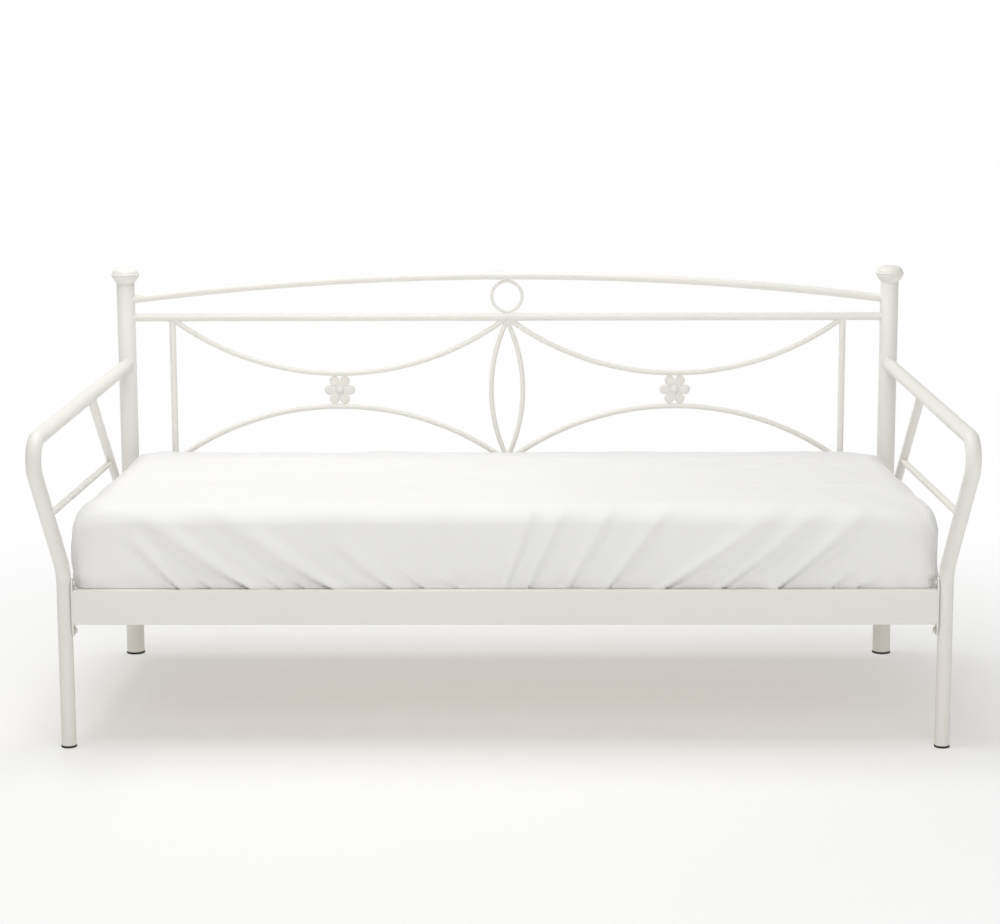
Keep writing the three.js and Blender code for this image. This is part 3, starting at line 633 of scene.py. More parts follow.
CREAM = powder_coat("cream_powder_coat", (0.830, 0.814, 0.762), (0.802, 0.786, 0.732), 0.44)
CAP_CREAM = powder_coat("cap_cream", (0.835, 0.819, 0.770), (0.806, 0.790, 0.740), 0.38)
NYLON = black_nylon()
ZINC = bright_zinc()
BEECH = sanded_beech()
TICKING = knitted_ticking()
PERCALE = cotton_percale()


def steel(name, shells, *nodes, sharp=WELDED_PIECES_SHARP):
    """A painted steel piece of the frame."""
    return piece(name, shells, CREAM, nodes, sharp=sharp)


# ---------------------------------------------------------------- posts, caps and glides


def post_face(sign):
    return round_bar_face((sign * HALF_LENGTH, POST_Y, 0.0), Z, POST_RADIUS)


def leg_face(sign):
    return round_bar_face((sign * HALF_LENGTH, LEG_Y, 0.0), Z, ARM_RADIUS)


def cap_profile():
    """Height and radius up a post cap: a collar, a flare that opens as a sine of height, a half-round rim and
    a dome that is a superellipse of power 2.3."""
    plug = [(-0.014, 0.019), (-0.001, 0.019), (0.0, 0.0200), (0.0, 0.0236)]
    collar = [(0.0005, 0.0243), (0.0014, 0.0246), (0.0030, 0.0246), (0.0040, 0.0243)]
    share = np.linspace(0.0, 1.0, 14)[1:]
    opening = np.sin(share * 1.35) / math.sin(1.35)
    flare = np.stack([0.0046 + 0.0190 * share, 0.0246 + 0.0116 * opening], 1)
    turn = np.linspace(-math.pi / 2, math.pi / 2, 11)
    rim_middle = CAP_CONE_HEIGHT + CAP_RIM_HEIGHT / 2
    rim_radius = CAP_RIM_RADIUS - 0.0025 + 0.0025 * np.cos(turn)
    rim = np.stack([rim_middle + CAP_RIM_HEIGHT / 2 * np.sin(turn), rim_radius], 1)
    lift = np.linspace(0.0, math.pi / 2, 18)[:-1]
    base = CAP_CONE_HEIGHT + CAP_RIM_HEIGHT
    power = 2 / 2.3
    dome_radius = (CAP_RIM_RADIUS - 0.003) * np.cos(lift) ** power
    dome = np.stack([base + CAP_DOME_HEIGHT * np.sin(lift) ** power, dome_radius], 1)
    return np.concatenate([plug, collar, flare, rim, dome])


def glide_profile(radius):
    """Height and radius up a glide: a rounded sole, a lip and a plug that goes up into the tube."""
    turn = np.linspace(-math.pi / 2, 0.0, 6)
    sole = np.stack([0.0015 + 0.0015 * np.sin(turn), radius - 0.0015 + 0.0015 * np.cos(turn)], 1)
    lip = [(GLIDE_HEIGHT - 0.0006, radius), (GLIDE_HEIGHT, radius - 0.0006), (GLIDE_HEIGHT, radius - 0.004)]
    plug = [(GLIDE_HEIGHT + 0.006, radius - 0.004), (GLIDE_HEIGHT + 0.020, radius - 0.006)]
    return np.concatenate([sole, lip, plug])


def make_posts():
    for side, sign in SIDES:
        x = sign * HALF_LENGTH
        height = POST_TOP - TUBE_FOOT
        edge = 0.0008
        profile = [
            (0.0, POST_RADIUS - edge),
            (edge * 0.3, POST_RADIUS - edge * 0.3),
            (edge, POST_RADIUS),
            (height - edge, POST_RADIUS),
            (height - edge * 0.3, POST_RADIUS - edge * 0.3),
            (height, POST_RADIUS - edge),
        ]
        foot = np.array([x, POST_Y, TUBE_FOOT])
        steel(f"post_tube_{side}", [turned(foot, Z, profile, X, 64)], f"rear_post_{side}")
        crown = np.array([x, POST_Y, POST_TOP + GAP])
        cap = [turned(crown, Z, cap_profile(), X, 72)]
        piece(f"cap_{side}", cap, CAP_CREAM, [f"post_cap_{side}"], sharp=math.radians(60))
        for place, y, radius in (("rear", POST_Y, POST_RADIUS), ("front", LEG_Y, ARM_RADIUS)):
            sole = np.array([x, y, 0.0])
            shells = [turned(sole, Z, glide_profile(radius + GLIDE_LIP), X, 48)]
            piece(f"glide_{place}_{side}", shells, NYLON, [f"{place}_glide_{side}"])


# ---------------------------------------------------------------- the back


def back_point(x, z):
    return np.array([x, POST_Y, z])


def rail_face(z):
    return round_bar_face((0.0, POST_Y, z), X, BACK_RAIL_RADIUS)


def make_back_rails():
    faces = [post_face(-1.0), post_face(1.0)]
    ends = back_point(-HALF_LENGTH, ARCH_END_HEIGHT), back_point(HALF_LENGTH, ARCH_END_HEIGHT)
    lines = {"top_arch": (arc_line(*ends, ARCH_RISE, Z, 90), "back_top_rail")}
    for name, z, node in (
        ("straight_rail", STRAIGHT_RAIL_HEIGHT, "back_straight_rail"),
        ("lower_rail", LOWER_RAIL_HEIGHT, "back_lower_rail"),
    ):
        span = np.stack([back_point(-HALF_LENGTH, z), back_point(HALF_LENGTH, z)])
        lines[name] = ((span, np.stack([X, X])), node)
    for name, ((points, tangents), node) in lines.items():
        shells = [swept_bar(points, tangents, BACK_RAIL_RADIUS, Y)]
        for at_end in (False, True):
            face = [faces[int(at_end)]]
            shells.append(bar_weld(points, tangents, BACK_RAIL_RADIUS, Y, at_end, face, 0.05))
        steel(f"back_{name}", shells, node)


def make_ring():
    """Round bar bent into a circle that stands between the straight rail and the arch."""
    above = ARCH_END_HEIGHT + ARCH_RISE - BACK_RAIL_RADIUS
    below = STRAIGHT_RAIL_HEIGHT + BACK_RAIL_RADIUS
    radius = (above - below) / 2 - RING_BAR_RADIUS - GAP
    turn = np.arange(96) * 2 * math.pi / 96
    out = np.cos(turn)[:, None] * X + np.sin(turn)[:, None] * Z
    bar = np.arange(24) * 2 * math.pi / 24
    ring = np.cos(bar)[None, :, None] * out[:, None] + np.sin(bar)[None, :, None] * Y
    points = back_point(0.0, (above + below) / 2) + radius * out[:, None] + RING_BAR_RADIUS * ring
    shells = [closed_ring(points)]
    for z in (above, below):
        shells.append(weld_spot(back_point(0.0, z), X, Y, 0.017, 0.0042))
    made = steel("back_ring_bar", shells, "back_ring")
    outward(made)


def make_back_bays():
    straight, lower = rail_face(STRAIGHT_RAIL_HEIGHT), rail_face(LOWER_RAIL_HEIGHT)
    swag_top = STRAIGHT_RAIL_HEIGHT - BACK_RAIL_RADIUS
    hill_foot = LOWER_RAIL_HEIGHT + BACK_RAIL_RADIUS
    arc_end = UPRIGHT_X - UPRIGHT_RADIUS
    for side, sign in SIDES:
        x = sign * UPRIGHT_X
        points = np.stack([back_point(x, LOWER_RAIL_HEIGHT), back_point(x, STRAIGHT_RAIL_HEIGHT)])
        tangents = np.stack([Z, Z])
        shells = [swept_bar(points, tangents, UPRIGHT_RADIUS, Y, 32)]
        shells += [
            bar_weld(points, tangents, UPRIGHT_RADIUS, Y, False, [lower]),
            bar_weld(points, tangents, UPRIGHT_RADIUS, Y, True, [straight]),
        ]
        steel(f"upright_bar_{side}", shells, f"back_upright_{side}")

        leaf_ends = back_point(0.0, hill_foot), back_point(0.0, swag_top)
        points, tangents = arc_line(*leaf_ends, LEAF_HALF_WIDTH, sign * X, 48, 0.010)
        shells = [swept_bar(points, tangents, LEAF_BAR_RADIUS, Y, 28)]
        shells += [
            bar_weld(points, tangents, LEAF_BAR_RADIUS, Y, False, [lower], bead=THIN_BEAD),
            bar_weld(points, tangents, LEAF_BAR_RADIUS, Y, True, [straight], bead=THIN_BEAD),
        ]
        steel(f"leaf_arc_{side}", shells, f"back_leaf_arc_{side}")

        upright = round_bar_face((x, POST_Y, 0.0), Z, UPRIGHT_RADIUS)
        for name, z, bulge, rail in (
            ("swag", swag_top, -Z, straight),
            ("hill", hill_foot, Z, lower),
        ):
            arc_ends = back_point(sign * ARC_START, z), back_point(sign * arc_end, z)
            points, tangents = arc_line(*arc_ends, ARC_DROP, bulge, 72, 0.015)
            shells = [swept_bar(points, tangents, ARC_RADIUS, Y, 28)]
            shells += [
                bar_weld(points, tangents, ARC_RADIUS, Y, False, [rail], bead=THIN_BEAD),
                bar_weld(points, tangents, ARC_RADIUS, Y, True, [rail, upright], bead=THIN_BEAD),
            ]
            steel(f"{name}_arc_{side}", shells, f"back_{name}_{side}")
        make_flower(side, sign * (ARC_START + arc_end) / 2, swag_top, hill_foot)


def make_flower(side, x, swag_top, hill_foot):
    """A cast flower: the outline is the furthest of six round petals and a hub in each direction. Between the
    middle and the outline both faces rise to half the thickness, each petal carries a shallow dome with a dip
    towards the hub, the valleys between petals sink, and an eye stands in the middle."""
    above = swag_top - ARC_DROP - ARC_RADIUS
    below = hill_foot + ARC_DROP + ARC_RADIUS
    half = (above - below) / 2 - GAP
    petal, hub, eye = half * 0.356, half * 0.5, half * 0.264
    reach = (half - petal) / math.sin(math.pi / 3)
    turn = np.arange(192) * 2 * math.pi / 192
    share = math.pi / 3
    off = turn - share * np.round(turn / share)
    inside = np.clip(petal**2 - (reach * np.sin(off)) ** 2, 0.0, None)
    outline = np.maximum(reach * np.cos(off) + np.sqrt(inside), hub)
    outline = np.where(petal**2 > (reach * np.sin(off)) ** 2, outline, hub)
    for _ in range(2):  # softens the notch between petals
        outline = (np.roll(outline, 1) + 2 * outline + np.roll(outline, -1)) / 4

    ring = 1 - (1 - np.linspace(0.0, 1.0, 30)[1:]) ** 1.35
    distance = ring[:, None] * outline[None]
    middle = np.stack([reach * np.cos(np.arange(6) * share), reach * np.sin(np.arange(6) * share)], 1)
    flat = distance[..., None] * np.stack([np.cos(turn), np.sin(turn)], -1)[None]
    nearest = np.linalg.norm(flat[:, :, None] - middle[None, None], axis=-1).min(-1)
    dome = np.sqrt(np.clip(1 - (nearest / (petal * 1.02)) ** 2, 0.0, 1.0))
    rim = np.sqrt(np.clip(1 - ring**7, 0.0, 1.0))[:, None]
    height = 0.0034 * rim + 0.0016 * dome * rim
    height += 0.0066 * np.sqrt(np.clip(1 - (distance / eye) ** 2, 0.0, 1.0))
    height = np.maximum(height, 0.0)

    front = np.stack([x + flat[..., 0], POST_Y - height, below + half + GAP - flat[..., 1]], -1)
    back = np.stack([x + flat[..., 0], POST_Y + height, below + half + GAP - flat[..., 1]], -1)
    rows = np.concatenate([front, back[:-1][::-1]])
    shells = [closed_tube(rows)]
    centre_z = below + half + GAP
    reach_up = reach * math.sin(share)
    for way in (-1.0, 1.0):
        for foot in (-1.0, 1.0):
            spot = back_point(x + foot * reach / 2, centre_z + way * (reach_up + petal))
            shells.append(weld_spot(spot, X, Y, 0.011, 0.0026))
    made = steel(f"cast_flower_{side}", shells, f"back_flower_{side}", sharp=math.radians(75))
    outward(made)


# ---------------------------------------------------------------- side frames


def make_side_frames():
    for side, sign in SIDES:
        shift = sign * HALF_LENGTH * X
        foot = shift + np.array([0.0, LEG_Y, TUBE_FOOT])
        knee = shift + np.array([0.0, LEG_Y, KNEE_HEIGHT])
        elbow = shift + ELBOW
        rear_end = shift + np.array([0.0, POST_Y - 0.004, ARM_HEIGHT])
        arm = bent_line([foot, knee, elbow, rear_end], [KNEE_RADIUS, ELBOW_RADIUS], 40)
        arm_slope = unit(rear_end - elbow)
        arm_face = round_bar_face(elbow, arm_slope, ARM_RADIUS)
        lean_face = round_bar_face(knee, elbow - knee, ARM_RADIUS)
        shells = [swept_bar(*arm, ARM_RADIUS, X, 48)]
        shells.append(bar_weld(*arm, ARM_RADIUS, X, True, [post_face(sign)], 0.06, 96, 0.0020))
        steel(f"arm_tube_{side}", shells, f"arm_and_leg_{side}")

        down = unit(STRUT_FOOT - STRUT_TOP)
        strut = np.stack([shift + STRUT_TOP, shift + STRUT_FOOT + 0.020 * down])
        along = np.stack([down, down])
        rail_top = flat_face((0.0, 0.0, END_RAIL_TOP), Z)
        shells = [swept_bar(strut, along, STRUT_RADIUS, X, 36)]
        shells += [
            bar_weld(strut, along, STRUT_RADIUS, X, False, [arm_face], 0.07),
            bar_weld(strut, along, STRUT_RADIUS, X, True, [rail_top, post_face(sign)], 0.09),
        ]
        steel(f"strut_tube_{side}", shells, f"side_strut_{side}")

        strut_face = round_bar_face(shift + STRUT_TOP, down, STRUT_RADIUS)
        drop = (SIDE_BAR_HEIGHT - STRUT_TOP[2]) / down[2]
        rear = (STRUT_TOP + drop * down)[1]
        lean = unit(ELBOW - np.array([0.0, LEG_Y, KNEE_HEIGHT]))
        front = LEG_Y + (SIDE_BAR_HEIGHT - KNEE_HEIGHT) / lean[2] * lean[1]
        bar = shift + np.array([[0.0, front, SIDE_BAR_HEIGHT], [0.0, rear, SIDE_BAR_HEIGHT]])
        along = np.stack([Y, Y])
        shells = [swept_bar(bar, along, SIDE_BAR_RADIUS, X, 32)]
        shells += [
            bar_weld(bar, along, SIDE_BAR_RADIUS, X, False, [lean_face], 0.06),
            bar_weld(bar, along, SIDE_BAR_RADIUS, X, True, [strut_face], 0.05),
        ]
        steel(f"side_bar_tube_{side}", shells, f"side_bar_{side}")

        section = rounded_rectangle(END_RAIL_WIDTH, END_RAIL_HEIGHT, END_RAIL_CORNER)
        middle = shift + (END_RAIL_TOP - END_RAIL_HEIGHT / 2) * Z
        flat = section[:, :1] * -X + section[:, 1:] * Z
        rows = [middle + y * Y + flat for y in (LEG_Y + 0.003, LEG_Y + 0.05, POST_Y - 0.05, POST_Y - 0.005)]
        shells = [closed_tube(np.stack(rows))]
        outline = even_loop(section, 150)
        ring = outline[:, :1] * X + outline[:, 1:] * Z
        half_way = middle + (LEG_Y + POST_Y) / 2 * Y
        shells.append(weld(half_way, -Y, ring, [leg_face(sign)], 0.0016))
        shells.append(weld(half_way, Y, ring, [post_face(sign)], 0.0016))
        made = steel(f"end_rail_tube_{side}", shells, f"end_rail_{side}")
        outward(made)


# ---------------------------------------------------------------- front and rear rails


def plate_outline():
    """Outline of an end plate as (depth, height): straight sides, and at each end a curve that draws in to a
    round tip about the bolt."""
    half, tip = PLATE_DEPTH / 2, PLATE_BOLT_INSET - 0.003
    top = RAIL_TOP + PLATE_REACH
    t = np.linspace(0.0, 1.0, 10)[:, None]
    start, pull, end = np.array([[half, RAIL_TOP], [half, RAIL_TOP + PLATE_REACH / 2], [tip, top - tip]])
    ogee = (1 - t) ** 2 * start + 2 * t * (1 - t) * pull + t**2 * end
    turn = np.linspace(0.0, math.pi, 20)[1:-1]
    cap = np.stack([tip * np.cos(turn), top - tip + tip * np.sin(turn)], 1)
    upper = np.concatenate([ogee, cap, (ogee * (-1, 1))[::-1]])
    lower = upper[::-1] * (1, -1) + (0, 2 * RAIL_TOP - RAIL_HEIGHT)
    return np.concatenate([upper, lower])


def button_head(seat, axis, side):
    """A button-head bolt with a hexagonal socket: rings up the flange and over the dome, then down inside the
    socket, whose radius in each direction is that of a hexagon."""
    count = 72
    turn = np.arange(count) * 2 * math.pi / count
    hexagon = math.cos(math.pi / 6) / np.cos((turn + math.pi / 6) % (math.pi / 3) - math.pi / 6)
    lift = np.linspace(0.0, math.pi / 2, 9)
    size, high = BOLT_HEAD_RADIUS, BOLT_HEAD_HEIGHT
    socket = size * 0.36
    rows = [(-0.004, size * 0.55, 0.0), (0.0, size * 0.55, 0.0)]
    rows += [(0.0, size * 0.97, 0.0), (0.0004, size, 0.0)]
    for angle in lift:
        radius = size * 0.52 + size * 0.48 * math.cos(angle)
        rows.append((0.0012 + (high - 0.0012) * math.sin(angle), radius, 0.0))
    rows += [(high, socket * 1.16, 0.6), (high - 0.0004, socket * 1.08, 1.0)]
    rows += [(high - 0.0026, socket * 1.04, 1.0), (high - 0.0030, socket * 0.5, 0.4)]
    height, radius, facet = np.array(rows).T
    shape = 1 + facet[:, None] * (hexagon[None] - 1)
    up = np.cross(axis, side)
    ring = np.cos(turn)[:, None] * side + np.sin(turn)[:, None] * up
    points = seat + height[:, None, None] * axis + (radius[:, None] * shape)[..., None] * ring[None]
    return closed_tube(points)


def washer(seat, axis, side):
    """A thin dished washer under a bolt's head."""
    profile = [(0.0, 0.0060), (0.0, 0.0086), (0.0003, 0.0090)]
    profile += [(0.0007, 0.0090), (0.0010, 0.0085), (0.0011, 0.0060)]
    return turned(seat, axis, profile, side, 48)


def bolt(name, seat, axis, side, node):
    """A bolt's visible head on its washer."""
    shells = [washer(seat, axis, side), button_head(seat + 0.0009 * axis, axis, side)]
    piece(name, shells, ZINC, [node], sharp=math.radians(50))


def make_bed_rails():
    half_plate = {"front": HALF_LENGTH - ARM_RADIUS - GAP, "rear": HALF_LENGTH - POST_RADIUS - GAP}
    plate_y = {"front": LEG_Y, "rear": POST_Y}
    low = RAIL_TOP - RAIL_HEIGHT
    sheet = RAIL_SHEET / 2
    for name, way in ENDS:
        face = plate_y[name] + way * RAIL_DEPTH / 2
        inward = -way
        plate_face = half_plate[name]
        span = plate_face - PLATE_THICKNESS - GAP
        corners = [
            (RAIL_DEPTH, low + sheet),
            (sheet, low + sheet),
            (sheet, RAIL_TOP - sheet),
            (RAIL_DEPTH - sheet, RAIL_TOP - sheet),
            (RAIL_DEPTH - sheet, RAIL_TOP - RAIL_LIP),
        ]
        channel = rounded_line(corners, [0.0028, 0.0028, 0.0022], 7)
        shelf_mid = SHELF_TOP - sheet
        shelf_line = rounded_line(
            [
                (RAIL_SHEET + 0.0006, SHELF_TOP - 0.022),
                (RAIL_SHEET + 0.0006, shelf_mid),
                (SHELF_DEPTH, shelf_mid),
            ],
            [0.0022],
            6,
        )
        place = (inward * Y, Z)
        origin = face * Y
        shells = []
        for line in (channel, shelf_line):
            points, quads, triangles = folded_steel(line, RAIL_SHEET, place, X, span)
            shells.append((points + origin, quads, triangles))
        rail = steel(f"{name}_rail_channel", shells, f"{name}_rail", sharp=math.radians(35))
        outward(rail)
        bevelled(rail, 0.0005)

        outline = plate_outline()
        for side, sign in SIDES:
            outer = sign * plate_face
            inner = outer - sign * PLATE_THICKNESS
            rows = [
                np.concatenate([np.full((len(outline), 1), x), outline + (plate_y[name], 0.0)], 1)
                for x in (inner, outer)
            ]
            bead_x = inner - sign * 0.0006
            bead_y = face + inward * 0.0012
            seam = np.array([[bead_x, bead_y, low + 0.004], [bead_x, bead_y, RAIL_TOP - 0.004]])
            shells = [closed_tube(np.stack(rows)), swept_bar(seam, np.stack([Z, Z]), 0.0014, X, 12)]
            plate = steel(f"{name}_plate_{side}", shells, f"{name}_end_plate_{side}", sharp=math.radians(35))
            outward(plate)
            bevelled(plate, 0.0006)
            heights = (low - PLATE_REACH + PLATE_BOLT_INSET, RAIL_TOP + PLATE_REACH - PLATE_BOLT_INSET)
            for level, z in zip(("lower", "upper"), heights):
                seat = np.array([inner - sign * GAP, plate_y[name], z])
                bolt(f"{name}_{level}_bolt_head_{side}", seat, -sign * X, Y, f"{name}_{level}_bolt_{side}")
    for side, sign in SIDES:
        for name, z in (("arm_bolt", ARM_HEIGHT), ("end_rail_bolt", END_RAIL_TOP - END_RAIL_HEIGHT / 2)):
            seat = np.array([sign * HALF_LENGTH, POST_Y + POST_RADIUS + GAP - 0.0009, z])
            bolt(f"{name}_head_{side}", seat, Y, X, f"{name}_{side}")


# ---------------------------------------------------------------- slats


def make_slats():
    for number in range(1, SLAT_COUNT + 1):
        node = f"slat_{number:02d}"
        low, high = (np.array(corner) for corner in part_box(node))
        width, thickness = high[0] - low[0], high[2] - low[2]
        section = rounded_rectangle(width, thickness, 0.0028, 5, 0.0012)
        middle = (low + high) / 2
        start, end = middle.copy(), middle.copy()
        start[1], end[1] = high[1], low[1]
        board = edged_bar(section, X, Z, start, end, 0.0016)
        made = piece(f"beech_{node}", [board], BEECH, [node], sharp=math.radians(50))
        outward(made)


# ---------------------------------------------------------------- mattress and sheet

BED_LOW, BED_HIGH = (np.array(corner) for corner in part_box("mattress"))
SHEET_LOW, SHEET_HIGH = (np.array(corner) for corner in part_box("fitted_sheet"))
BED_CENTRE = (BED_LOW + BED_HIGH) / 2
BED_CORNER = 0.048  # rounding of the mattress's upright corners


def side_line(count, half_along, half_out, corner):
    """Along one side of a rounded rectangle, from the middle of one corner to the middle of the next: place
    along the side, distance out from the middle, and turn of the outward direction, at even arc lengths."""
    arc = corner * math.pi / 4
    straight = 2 * (half_along - corner)
    place = np.linspace(0.0, straight + 2 * arc, count)
    turn = (np.clip(place - arc - straight, 0, None) - np.clip(arc - place, 0, None)) / corner
    along = np.clip(place - arc, 0, straight) - straight / 2 + corner * np.sin(turn)
    out = half_out - corner + corner * np.cos(turn)
    return along, out, turn


# The way along and the way out of each side: front, right, rear, left.
SIDE_WAYS = ((X, -Y), (Y, X), (-X, Y), (-Y, -X))
CORNER_EASE = (0.16, 0.03)  # from where to where the insets shrink, by distance from a side's end
CORNER_ROOM = 0.8  # the largest inset at a corner, as a share of the corner's radius


class WrappedBlock:
    """The skin of a soft block: a grid over its top, and a skirt of rows down its sides from the rim of that
    grid. The grid is blended between its four edges (a Coons patch). The rows' insets shrink towards the
    corners, so that they never cross. Every vertex knows its resting place, its outward direction, its column
    round the block and how far down the side it lies, which is nothing on the top."""

    def __init__(self, half_x, half_y, corner, centre, top, skirt, counts):
        self.counts = nx, ny = counts
        skirt = np.asarray(skirt, float)
        insets = skirt[:, 0]
        long_side, short_side = (nx, half_x, half_y, corner), (ny, half_y, half_x, corner)
        outline, outwards, near = [], [], []
        for side, (run, away) in zip((long_side, short_side) * 2, SIDE_WAYS):
            along, out, turn = side_line(*side)
            outline.append((along[:, None] * run + out[:, None] * away)[:-1])
            outwards.append((np.sin(turn)[:, None] * run + np.cos(turn)[:, None] * away)[:-1])
            near.append(smooth(*CORNER_EASE, np.abs(along).max() - np.abs(along[:-1])))
        self.outline = np.concatenate(outline) + np.array([centre[0], centre[1], 0.0])
        self.outwards = np.concatenate(outwards)
        around = len(self.outline)
        widest = np.where(np.arange(len(insets)) < insets.argmin(), insets[0], insets[-1])
        room = np.minimum(1.0, CORNER_ROOM * corner / np.maximum(widest, 0.001))
        insets = insets[:, None] * (1 - np.concatenate(near) * (1 - room[:, None]))

        self.rim = rim = self.outline - insets[0][:, None] * self.outwards
        front = rim[:nx]
        right = rim[nx - 1 : nx + ny - 1]
        rear = rim[nx + ny - 2 : 2 * nx + ny - 2][::-1]
        left = np.concatenate([rim[2 * nx + ny - 3 :], rim[:1]])[::-1]
        u = np.linspace(0.0, 1.0, nx)[None, :, None]
        v = np.linspace(0.0, 1.0, ny)[:, None, None]
        patch = (1 - v) * front[None] + v * rear[None] + (1 - u) * left[:, None] + u * right[:, None]
        patch -= (1 - u) * (1 - v) * front[0] + u * (1 - v) * front[-1]
        patch -= (1 - u) * v * rear[0] + u * v * rear[-1]
        patch[..., 2] = top
        self.patch = patch

        height, tilt, down = skirt[1:, 1:].T
        rows = self.outline[None] - insets[1:, :, None] * self.outwards[None]
        rows[..., 2] = height[:, None]
        normals = np.cos(tilt)[:, None, None] * self.outwards[None] + np.sin(tilt)[:, None, None] * Z
        self.points = np.concatenate([patch.reshape(-1, 3), rows.reshape(-1, 3)])
        self.normals = np.concatenate([np.tile(Z, (nx * ny, 1)), normals.reshape(-1, 3)])
        self.down = np.concatenate([np.zeros(nx * ny), np.repeat(down, around)])
        self.on_top = np.concatenate([np.ones(nx * ny, bool), np.zeros(len(rows) * around, bool)])
        self.column = np.concatenate([np.full(nx * ny, -1), np.tile(np.arange(around), len(rows))])
        self.first_inset, self.around = skirt[0, 0], around

        over = grid_quads(ny, nx, wrap_columns=False)
        below = nx * ny + np.arange(len(rows))[:, None] * around + np.arange(around)
        ring = np.concatenate([grid_rim(ny, nx)[None], below])
        after = np.roll(ring, -1, axis=1)
        down_quads = np.stack([ring[:-1], ring[1:], after[1:], after[:-1]], -1).reshape(-1, 4)
        self.quads = np.concatenate([over, down_quads])
        self.last_ring = ring[-1]

    def from_centre(self):
        """Each vertex's place, measured in plan from the bed's middle."""
        return self.points - BED_CENTRE * (1, 1, 0)

    def side_place(self, number):
        """For one side: place along it, how far down it (negative on the top), and how much each vertex
        belongs to it, fading out round the corners."""
        run, away = SIDE_WAYS[number]
        half = float(np.abs(self.outline @ away - BED_CENTRE @ away).max())
        flat = self.from_centre()
        along = flat @ run
        out = flat @ away
        down = np.where(self.on_top, np.minimum(out - (half - self.first_inset), 0.0), self.down)
        facing = np.where(self.on_top, 1.0, self.outwards[self.column] @ away)
        share = smooth(0.25, 0.85, facing)
        share = np.where(self.on_top, smooth(-0.22, -0.02, down), share)
        return along, down, share


def fold(along, down, foot, head, foot_down, head_down, height, width, bow=0.0):
    """One tension fold, as a height over the cloth. It runs in a slightly bowed line from its foot at the rail
    to its head near the top edge. Across the line it is a ridge, exp(-(q/w)^2), broad above and steep below,
    with a hollow along its lower side. It is narrow and full at the foot and dies out towards the head."""
    run = np.array([head - foot, head_down - foot_down])
    length = math.hypot(*run)
    run = run / length
    over = np.array([run[1], -run[0]])
    if over[1] > 0:  # the upper side of a fold is the side nearer the top
        over = -over
    dx, dd = along - foot, down - foot_down
    place = (dx * run[0] + dd * run[1]) / length
    across = dx * over[0] + dd * over[1]
    inner = np.clip(place, 0.0, 1.0)
    across = across + bow * inner * (1 - inner)
    spread = width * (0.50 + 1.0 * inner)
    steep = spread * (0.34 + 0.22 * inner)
    ridge = np.exp(-((across / np.where(across > 0, spread, steep)) ** 2))
    hollow = np.exp(-(((across + 2.0 * steep) / (1.2 * steep)) ** 2))
    strength = smooth(1.2, 0.5, place)
    return height * strength * (ridge - (0.75 - 0.55 * inner) * hollow)


# Folds of the sheet along its front, in metres: foot and head along the rail from the bed's middle, how far
# up the side the head lies (from 0 at the rail to 1 at the top edge), then height, width and bow.
FRONT_FOLDS = (
    (-0.597, -0.862, 0.74, 0.0130, 0.022, 0.010),
    (-0.402, -0.690, 0.80, 0.0125, 0.026, 0.022),
    (-0.763, -0.880, 0.52, 0.0095, 0.017, 0.006),
    (-0.262, -0.400, 0.50, 0.0080, 0.022, 0.010),
    (-0.690, -0.745, 0.20, 0.0055, 0.010, 0.002),
    (-0.525, -0.570, 0.17, 0.0060, 0.010, 0.002),
    (-0.472, -0.540, 0.26, 0.0065, 0.012, 0.003),
    (-0.190, -0.245, 0.22, 0.0060, 0.012, 0.003),
    (-0.110, -0.160, 0.14, 0.0040, 0.012, 0.001),
    (0.004, 0.072, 0.84, 0.0050, 0.016, 0.003),
    (0.056, 0.150, 0.86, 0.0060, 0.018, 0.006),
    (0.150, 0.262, 0.88, 0.0068, 0.019, 0.008),
    (0.242, 0.395, 0.86, 0.0085, 0.021, 0.010),
    (0.376, 0.655, 0.78, 0.0122, 0.021, 0.010),
    (0.510, 0.740, 0.76, 0.0110, 0.020, 0.010),
    (0.642, 0.850, 0.76, 0.0128, 0.019, 0.010),
    (0.768, 0.822, 0.20, 0.0060, 0.010, 0.002),
    (0.830, 0.880, 0.12, 0.0050, 0.010, 0.001),
)
CORNER_SWELL = {1: 0.007, 3: 0.004}  # of the right and the left end, near the front
# Shallow wrinkles on the top: middle (x, y), half length, turn from the X axis in degrees, height, width.
TOP_WRINKLES = (
    (0.34, 0.34, 0.30, -7.0, 0.0022, 0.016),
    (0.62, 0.27, 0.24, 12.0, 0.0026, 0.018),
    (0.52, 0.10, 0.26, 6.0, 0.0018, 0.015),
    (0.20, 0.20, 0.24, -4.0, 0.0018, 0.017),
    (0.72, 0.44, 0.16, 16.0, 0.0026, 0.018),
    (0.84, 0.33, 0.13, -38.0, 0.0022, 0.016),
    (0.05, 0.42, 0.30, -5.0, 0.0014, 0.018),
    (-0.30, 0.30, 0.34, 5.0, 0.0012, 0.020),
    (-0.52, 0.12, 0.26, -8.0, 0.0012, 0.022),
    (-0.72, 0.40, 0.20, 9.0, 0.0014, 0.018),
    (0.78, -0.02, 0.20, 8.0, 0.0016, 0.016),
    (-0.10, -0.05, 0.30, 3.0, 0.0010, 0.022),
)


def quiet_waves(first, second, seed, count, longest, shortest):
    """A smooth uneven field between about -1 and 1: sines in random directions, of wavelengths between the
    longest and the shortest."""
    rng = np.random.default_rng(seed)
    total = np.zeros_like(first)
    for _ in range(count):
        turn, phase = rng.uniform(0, math.pi), rng.uniform(0, 2 * math.pi)
        number = 2 * math.pi / math.exp(rng.uniform(math.log(shortest), math.log(longest)))
        total += np.sin(number * (first * math.cos(turn) + second * math.sin(turn)) + phase)
    return total / math.sqrt(count)


